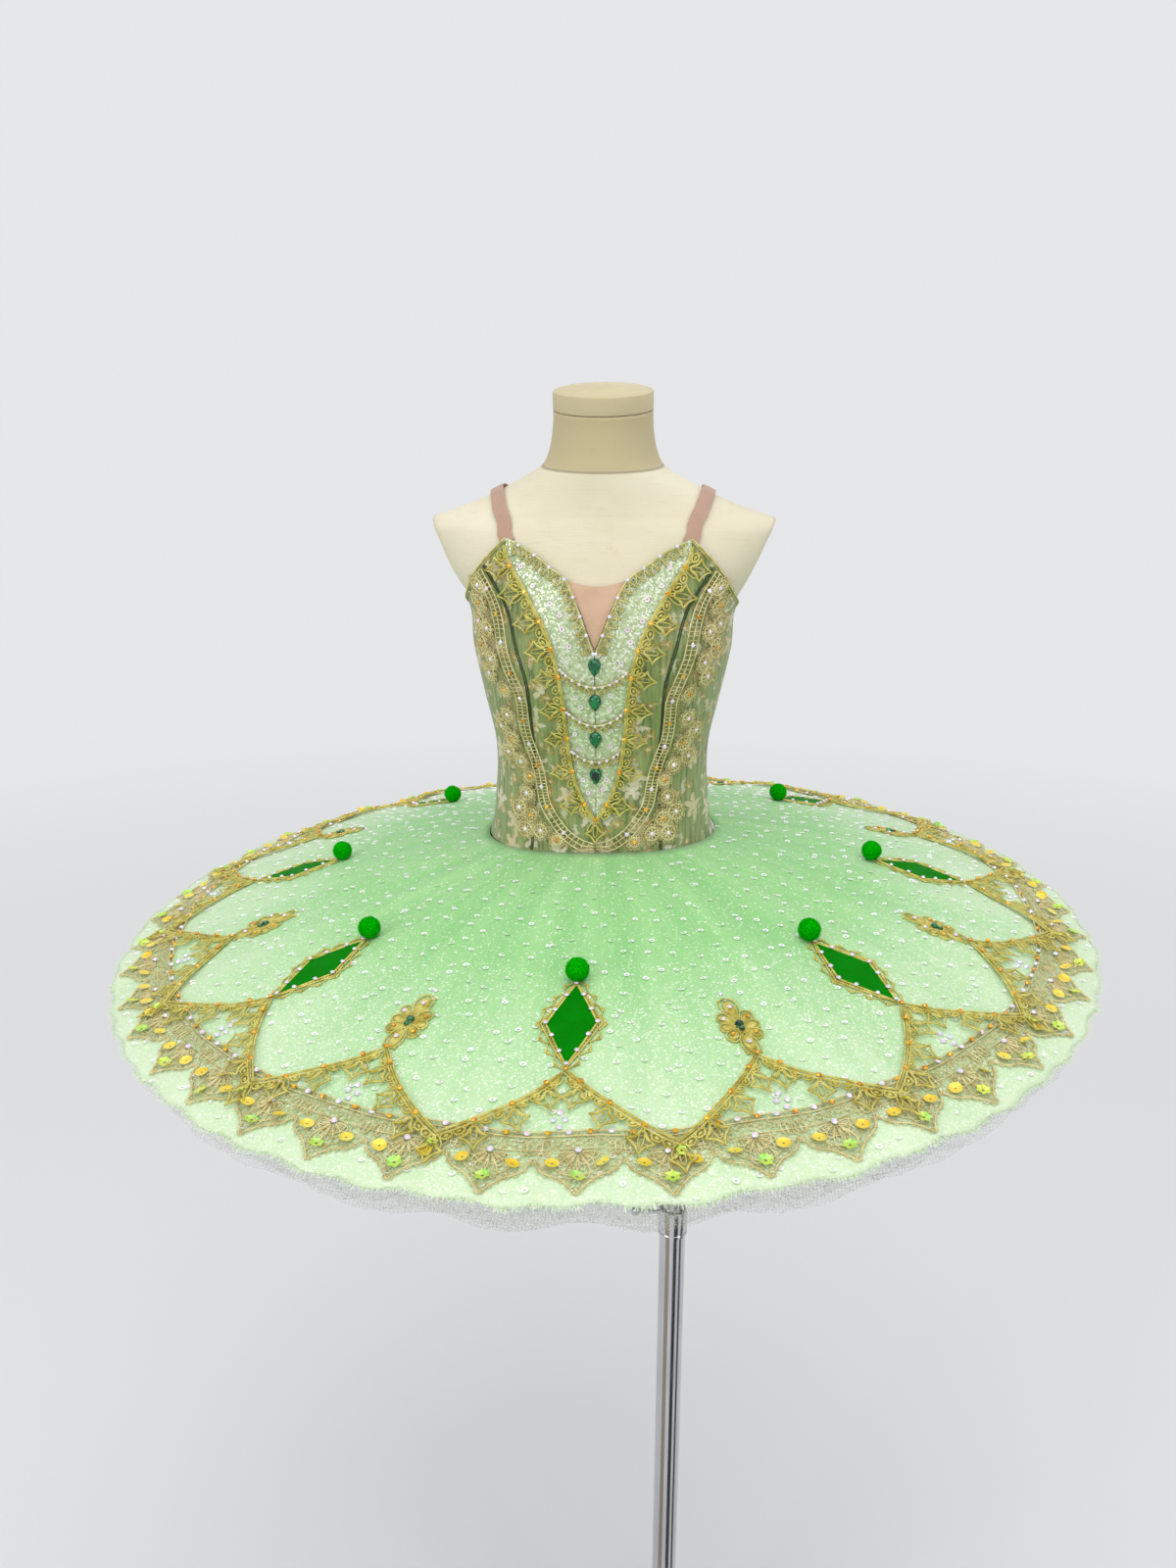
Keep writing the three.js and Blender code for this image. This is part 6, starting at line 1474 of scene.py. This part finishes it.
for radius, half in ((11.5, 100), (20.5, 62)):
    fan_turn = np.radians(np.linspace(-half, half, 13))
    arc = np.column_stack([radius * np.sin(fan_turn), FAN_CENTRE[1] + radius * np.cos(fan_turn) * 0.95])
    fan_lines.append((arc, 1.0, False))
for turn in (-28.5, -24.5, 24.5, 28.5):
    fan_lines.append((oval((turn, 446.5), (0, 1), 5.4, 2.4, 8), 1.0, True))
for spot in EDGE[1:-1:2]:
    for sign in (-1, 1):
        fan_lines.append((oval(np.array([spot[0] * sign, spot[1] + 0.2]), (1, 0), 1.7, 1.7, 5), 0.9, True))
for x in (-24, -16, -8, 0, 8, 16, 24, 32):
    fan_lines.append((oval((x, 441.6), (1, 0), 3.0, 2.6, 6), 0.9, True))
rim_topaz, rim_crystals, cup_places, tip_sequins = [], [], [], []
for k in range(SCALLOPS):
    turn = FIRST_TIP + SCALLOP_PITCH * k
    for line, thick, closed in fan_lines:
        rim_cords.cord(in_scallop(line, turn), thick, closed=closed, sides=4)
    for x, rows in ((-24, rim_topaz), (-8, rim_crystals), (8, rim_topaz), (24, rim_crystals)):
        rows.append((*in_scallop((x, 434.4), turn), 2.5, 1.2 + RIM_LIFT))
    rim_crystals.append((*in_scallop(FAN_CENTRE, turn), 2.7, 1.2 + RIM_LIFT))
    cup_places += [(*in_scallop((x, 459.5), turn), 5.4, 1.3 + RIM_LIFT) for x in (-18.0, 18.0)]
    tip_sequins.append((*in_scallop((0.0, 471.0), turn), 6.2, 1.4 + RIM_LIFT))
rim_cords.sew("rim_lace_cord", beige_cord, ["rim_lace"])
set_stones("rim_topaz", brilliant(), on_plate, rim_topaz, topaz, seed=21)
set_stones("rim_crystals", brilliant(), on_plate, rim_crystals, rainbow_glass, seed=22)
gold_sequin = sequin_finish("yellow_cup_sequin", (0.88, 0.56, 0.01, 1.0), (0.98, 0.84, 0.10, 1.0), 0.25)
set_stones("cup_sequins", ring_sequin(0.16, 0.20, sides=12), on_plate, cup_places, gold_sequin,
           seed=23, tilt=0.16)
set_stones("tip_sequins", ring_sequin(0.2, 0.22, sides=12, lobes=6, lobe_depth=0.25), on_plate, tip_sequins,
           green_sequin, seed=24, tilt=0.16)

rim_ground = lace_ground_finish("rim_lace_ground", (0.78, 0.70, 0.36, 1.0), (0.48, 0.41, 0.15, 1.0), 0.0034)
ground_turn = np.linspace(0, 360, SCALLOPS * 16, endpoint=False)
phase = np.abs((ground_turn - FIRST_TIP + SCALLOP_PITCH / 2) % SCALLOP_PITCH - SCALLOP_PITCH / 2)
edge_table = np.column_stack([EDGE[::-1, 0] * -1.0, EDGE[::-1, 1]])
edge_radius = np.interp(np.radians(phase) * RIM_MIDDLE, edge_table[:, 0], edge_table[:, 1])
ground_radius = 433.0 + (edge_radius[None, :] - 433.0) * np.linspace(0, 1, 7)[:, None]
ground_plan = at_degrees(ground_radius, ground_turn[None, :])
outside, inside = on_plate(ground_plan, RIM_LIFT - 0.2), on_plate(ground_plan, RIM_LIFT - 0.6)
rim_net = ring_shell("rim_lace_ground", outside, inside, rim_ground, "form", ["rim_lace"])

# ---- Green satin lozenges ----------------------------------------------------------------
# Eight pointed lozenges of green satin, backed and flat, each sewn down inside a border of
# two gold cords with slanting rungs, and scallops with knotted picots outside it.

LOZENGES = 8
LOZENGE_MIDDLE = 328.0
LOZENGE_REACH = 43.4
LOZENGE_HALF = 19.0
LOZENGE_LIFT = 0.8


def satin_finish():
    """Bright green satin: long floats that run in fine bands across the weave, painted lighter along them as
    painted sheen, partly the weave's own texture.
    """
    material, tree, shader = new_finish("green_satin")
    flat = add_node(tree, "UVMap", uv_map="cloth_map").outputs[0]
    floats = noise(tree, stretched(tree, flat, (3800.0, 260.0, 1.0)), 1.0, 3.0)
    cloud = noise(tree, flat, 55.0, 2.0)
    # Painted sheen: fine bands along the floats are painted lighter, partly the weave's own texture.
    tone = blend_colors(tree, between(tree, floats, 0.3, 0.7), (0.0, 0.15, 0.0, 1.0), (0.0, 0.22, 0.001, 1.0))
    tree.links.new(blend_colors(tree, between(tree, cloud, 0.45, 0.75, 0.0, 0.35), tone, (0.0, 0.28, 0.004, 1.0)),
                   shader.inputs["Base Color"])
    feed(tree, shader, {"Roughness": 0.5})
    shader.inputs["Anisotropic"].default_value = 0.5
    shader.inputs["Specular IOR Level"].default_value = 0.03
    emboss(tree, shader, calculate(tree, "MULTIPLY_ADD", cloud, 2.0, floats), 0.15, 0.0006)
    return material


green_satin = satin_finish()
lozenge_cords = Cordwork(lambda plan, lift: on_plate(plan, LOZENGE_LIFT + lift))
lozenge_crystals = []


def turned_spots(spots, middle, turn):
    """Plan places from millimetres across and outward of a middle radius, at a turn."""
    spots = np.asarray(spots, float)
    sine, cosine = math.sin(math.radians(turn)), math.cos(math.radians(turn))
    across, out = spots[..., 0], spots[..., 1] + middle
    return np.stack([across * cosine + out * sine, across * sine - out * cosine], -1)


def lozenge_side(grow, steps):
    """The right side of a lozenge from its inner to its outer point, grown outwards."""
    share = np.linspace(-1, 1, steps)
    half = (LOZENGE_HALF + grow) * (1 - np.abs(share)) + (0.8 + 0.35 * grow) * (1 - share**4)
    return np.column_stack([half, share * (LOZENGE_REACH + 0.6 * grow)])


for k in range(LOZENGES):
    turn = 45.0 * k

    def at_lozenge(spots, turn=turn):
        return turned_spots(spots, LOZENGE_MIDDLE, turn)

    side = lozenge_side(0.3, 25)
    share = np.linspace(-1, 1, 13)
    spots = np.stack(np.broadcast_arrays(side[:, None, 0] * share[None, :], side[:, None, 1]), -1)
    plan = at_lozenge(spots)
    dome = 0.5 * (1 - share[None, :] ** 2) * (1 - np.linspace(-1, 1, 25)[:, None] ** 2)
    outside, inside = on_plate(plan, 1.7 + dome), on_plate(plan, np.full_like(dome, 0.8))
    satin = cloth_shell(f"lozenge_{k + 1}_satin", outside[:, ::-1], inside[:, ::-1], spots[:, ::-1] * MM,
                        green_satin, "form", [f"lozenge_{k + 1}"])
    for sign in (-1, 1):
        mirror = np.array([sign, 1.0])
        lines = {grow: lozenge_side(grow, 33) * mirror for grow in (0.6, 3.6)}
        for grow, thick in ((0.6, 1.7), (3.6, 1.5)):
            lozenge_cords.cord(at_lozenge(lines[grow]), thick)
        for j in range(1, 31):
            rung = np.array([lines[0.6][j], lines[3.6][min(j + 1, 32)]])
            lozenge_cords.cord(at_lozenge(rung), 0.9, lift=0.2, sides=4)
        stops = lozenge_side(3.8, 15) * mirror
        for a, b in zip(stops[:-1:2], stops[2::2]):
            way = np.array([-(b - a)[1], (b - a)[0]])
            way *= np.sign(way[0]) * sign / np.linalg.norm(way)
            middle = (a + b) / 2
            inset, rise = 0.06 * (b - a), 2.6 * way
            arc = smooth_line([a, a + inset + rise, middle + 4.6 * way, b - inset + rise, b], 11)
            lozenge_cords.cord(at_lozenge(arc), 1.2, sides=4)
            for lean in (-1.2, 0.0, 1.2):
                knot = middle + 6.4 * way + lean * 1.5 * unit(b - a) - abs(lean) * 1.0 * way
                lozenge_cords.pad(at_lozenge(knot), (1.0, 0.2), 1.0, 1.0, 1.5)
        for j in (5, 11, 16, 21, 27):
            lozenge_crystals.append((*at_lozenge(lines[0.6][j]), 2.2, 2.6))
    for out in (-LOZENGE_REACH, LOZENGE_REACH):
        lozenge_crystals.append((*at_lozenge((0.0, out)), 2.1, 3.0))
lozenge_cords.sew("lozenge_border_cord", gold_cord, [f"lozenge_{k + 1}" for k in range(LOZENGES)])
set_stones("lozenge_crystals", brilliant(), on_plate, lozenge_crystals, rainbow_glass, seed=31)

# ---- Corded flowers ----------------------------------------------------------------------
# Eight flowers of gold cord between the lozenges: ten or so petals, each filled with two
# finer loops, and foiled glass stones sewn in the middle.

FLOWER_RADIUS = 346.0
PETALS = [30.0, 19.5, 16.6, 19.5, 31.0, 19.5, 16.6, 19.5]
flower_cords = Cordwork(lambda plan, lift: on_plate(plan, LOZENGE_LIFT + lift))
flower_green, flower_topaz, flower_crystals = [], [], []
for k in range(LOZENGES):
    turn = 22.5 + 45.0 * k

    def at_flower(spots, turn=turn):
        return turned_spots(spots, FLOWER_RADIUS, turn)

    for j, reach in enumerate(PETALS):
        way = np.array([math.sin(j * math.pi / 4), math.cos(j * math.pi / 4)])
        flower_cords.pad(at_flower(0.62 * reach * way),
                         turned_spots(way, 0.0, turn), 0.34 * reach, 0.17 * reach, 0.7)
        fat = 0.36 if reach > 25 else 0.44
        for start, end, width, thick in ((3.4, reach, fat, 1.5), (5.0, 0.84 * reach, 0.8 * fat, 1.1),
                                         (6.4, 0.66 * reach, 0.6 * fat, 0.9)):
            loop = leaf(start * way, end * way, width, 16)
            flower_cords.cord(at_flower(loop), thick, closed=True, sides=4)
        if j % 2 == 0:
            for side_turn in (-0.20, 0.20):
                small = np.array([math.sin(j * math.pi / 4 + side_turn), math.cos(j * math.pi / 4 + side_turn)])
                knot = at_flower(small * (reach - 1.0))
                flower_cords.pad(knot, (1.0, 0.2), 1.1, 1.1, 1.5)
    flower_green += [(*at_flower((0.0, -1.6)), 3.6, 2.2),
                     (*at_flower((0.0, 4.0)), 2.6, 2.2)]
    flower_topaz += [(*at_flower(spot), 2.0, 2.4) for spot in ((-9.5, 8.5), (10.5, -8), (10, 9))]
    flower_crystals += [(*at_flower(spot), 2.1, 2.4)
                        for spot in ((0.0, -20.0), (0.0, 18.0), (-10.5, -8.0))]
    flower_crystals.append((*at_flower((0.0, -38.0)), 2.1, 0.2))
flower_cords.sew("flower_cord", gold_cord, [f"flower_{k + 1}" for k in range(LOZENGES)])
set_stones("flower_emeralds", brilliant(), on_plate, flower_green, emerald, seed=41)
set_stones("flower_topaz", brilliant(), on_plate, flower_topaz, topaz, seed=42)
set_stones("flower_crystals", brilliant(), on_plate, flower_crystals, rainbow_glass, seed=43)

# ---- Pompoms -----------------------------------------------------------------------------
# Vivid green wool balls, wound, clipped and rolled until they felt, sewn on through the
# plate at the inner point of each lozenge. Short fibres stand off them all round.

POMPOM_RING = 278.0
POMPOM_RADIUS = 10.4
POMPOM_FIBRES = 1500
wool_green, wool_tree, wool_shader = new_finish("green_wool")
wool_cloud = noise(wool_tree, own_place(wool_tree), 700.0, 5.0)
wool_tone = blend_colors(wool_tree, between(wool_tree, wool_cloud, 0.32, 0.62), (0.0, 0.20, 0.0, 1.0),
                         (0.0, 0.46, 0.0, 1.0))
feed(wool_tree, wool_shader, {"Base Color": wool_tone, "Roughness": 0.9})
wool_shader.inputs["Specular IOR Level"].default_value = 0.02
emboss(wool_tree, wool_shader, wool_cloud, 0.8, 0.0008)
latitude = np.linspace(0.04, math.pi - 0.04, 22)
around = full_turn(32)
for k in range(LOZENGES):
    draw = np.random.default_rng(50 + k)
    middle = on_plate(at_degrees(POMPOM_RING, 45.0 * k), 10.4)
    ways = np.stack([np.sin(latitude)[:, None] * np.cos(around), np.sin(latitude)[:, None] * np.sin(around),
                     np.cos(latitude)[:, None] * np.ones(32)], -1)
    lumps = sum(np.sin(ways @ draw.normal(0, 5, 3) + draw.uniform(0, 6)) for _ in range(6)) * 0.12
    core = middle + ways * ((POMPOM_RADIUS - 0.5 + lumps) * MM)[..., None]
    faces = grid_faces(22, 32, closed=True)[:, ::-1]
    spot = unit(draw.normal(0, 1, (POMPOM_FIBRES, 3)))
    lean = unit(spot + draw.normal(0, 0.45, spot.shape))
    width = unit(np.cross(lean, draw.normal(0, 1, spot.shape)))
    root = middle + spot * (POMPOM_RADIUS - 0.9) * MM
    tip = root + lean * draw.uniform(0.8, 1.9, (POMPOM_FIBRES, 1)) * MM
    thick, thin = 0.00011 * width, 0.00004 * width
    strand = np.stack([root - thick, root + thick, tip + thin, tip - thin], 1)
    strand_faces = core.shape[0] * core.shape[1] + np.arange(POMPOM_FIBRES * 4).reshape(-1, 4)
    mesh = build_mesh(f"pompom_{k + 1}_wool", np.concatenate([core.reshape(-1, 3), strand.reshape(-1, 3)]),
                      np.concatenate([faces, strand_faces]))
    add_piece(f"pompom_{k + 1}_wool", mesh, wool_green, "form", [f"pompom_{k + 1}"])

# ---- Plate sequins and raw rim -------------------------------------------------------------
# Clear and white iridescent ring sequins, sewn on singly over the whole plate, and the raw
# edges of its two net layers, which stand up in short glittered threads.

ring_white = sequin_finish("white_iridescent_sequin", (0.92, 0.98, 0.93, 1.0), (1.0, 0.96, 0.99, 1.0), 0.0)
draw = np.random.default_rng(61)
plate_sequins = []
for radius in np.arange(128.0, 486.0, 20.5):
    count = int(round(2 * math.pi * radius / 22.0))
    turn = (np.arange(count) + draw.uniform(0, 1)) * 2 * math.pi / count + draw.normal(0, 6.0, count) / radius
    spots = polar(radius + draw.normal(0, 5.0, count), turn)
    plate_sequins += [(x, y, 2.9, 0.35) for x, y in spots if math.hypot(x, y) < 486.0]
set_stones("plate_sequins", ring_sequin(0.42, 0.10, sides=7), on_cloth, plate_sequins, ring_white, seed=62)

RIM_THREADS = 5200
turn = np.sort(draw.uniform(0, 2 * math.pi, RIM_THREADS))
root_radius = PLATE_RADIUS - 3.0 + 1.6 * np.sin(61 * turn + np.sin(7 * turn))
root = on_plate(polar(root_radius, turn), draw.uniform(-0.9, 0.2, RIM_THREADS))
reach = root_radius + draw.uniform(1.5, 5.5, RIM_THREADS)
tip = on_plate(polar(reach, turn + draw.normal(0, 0.004, RIM_THREADS)), draw.uniform(-1.8, 2.2, RIM_THREADS))
wide = np.stack([np.cos(turn), np.sin(turn), np.zeros(RIM_THREADS)], -1) * draw.uniform(
    0.00025, 0.0006, (RIM_THREADS, 1))
threads = np.stack([root - wide, root + wide, tip + 0.4 * wide, tip - 0.4 * wide], 1)
add_piece("plate_rim_threads", build_mesh("plate_rim_threads", threads, np.arange(RIM_THREADS * 4).reshape(-1, 4)),
          plate.data.materials[0], "form")
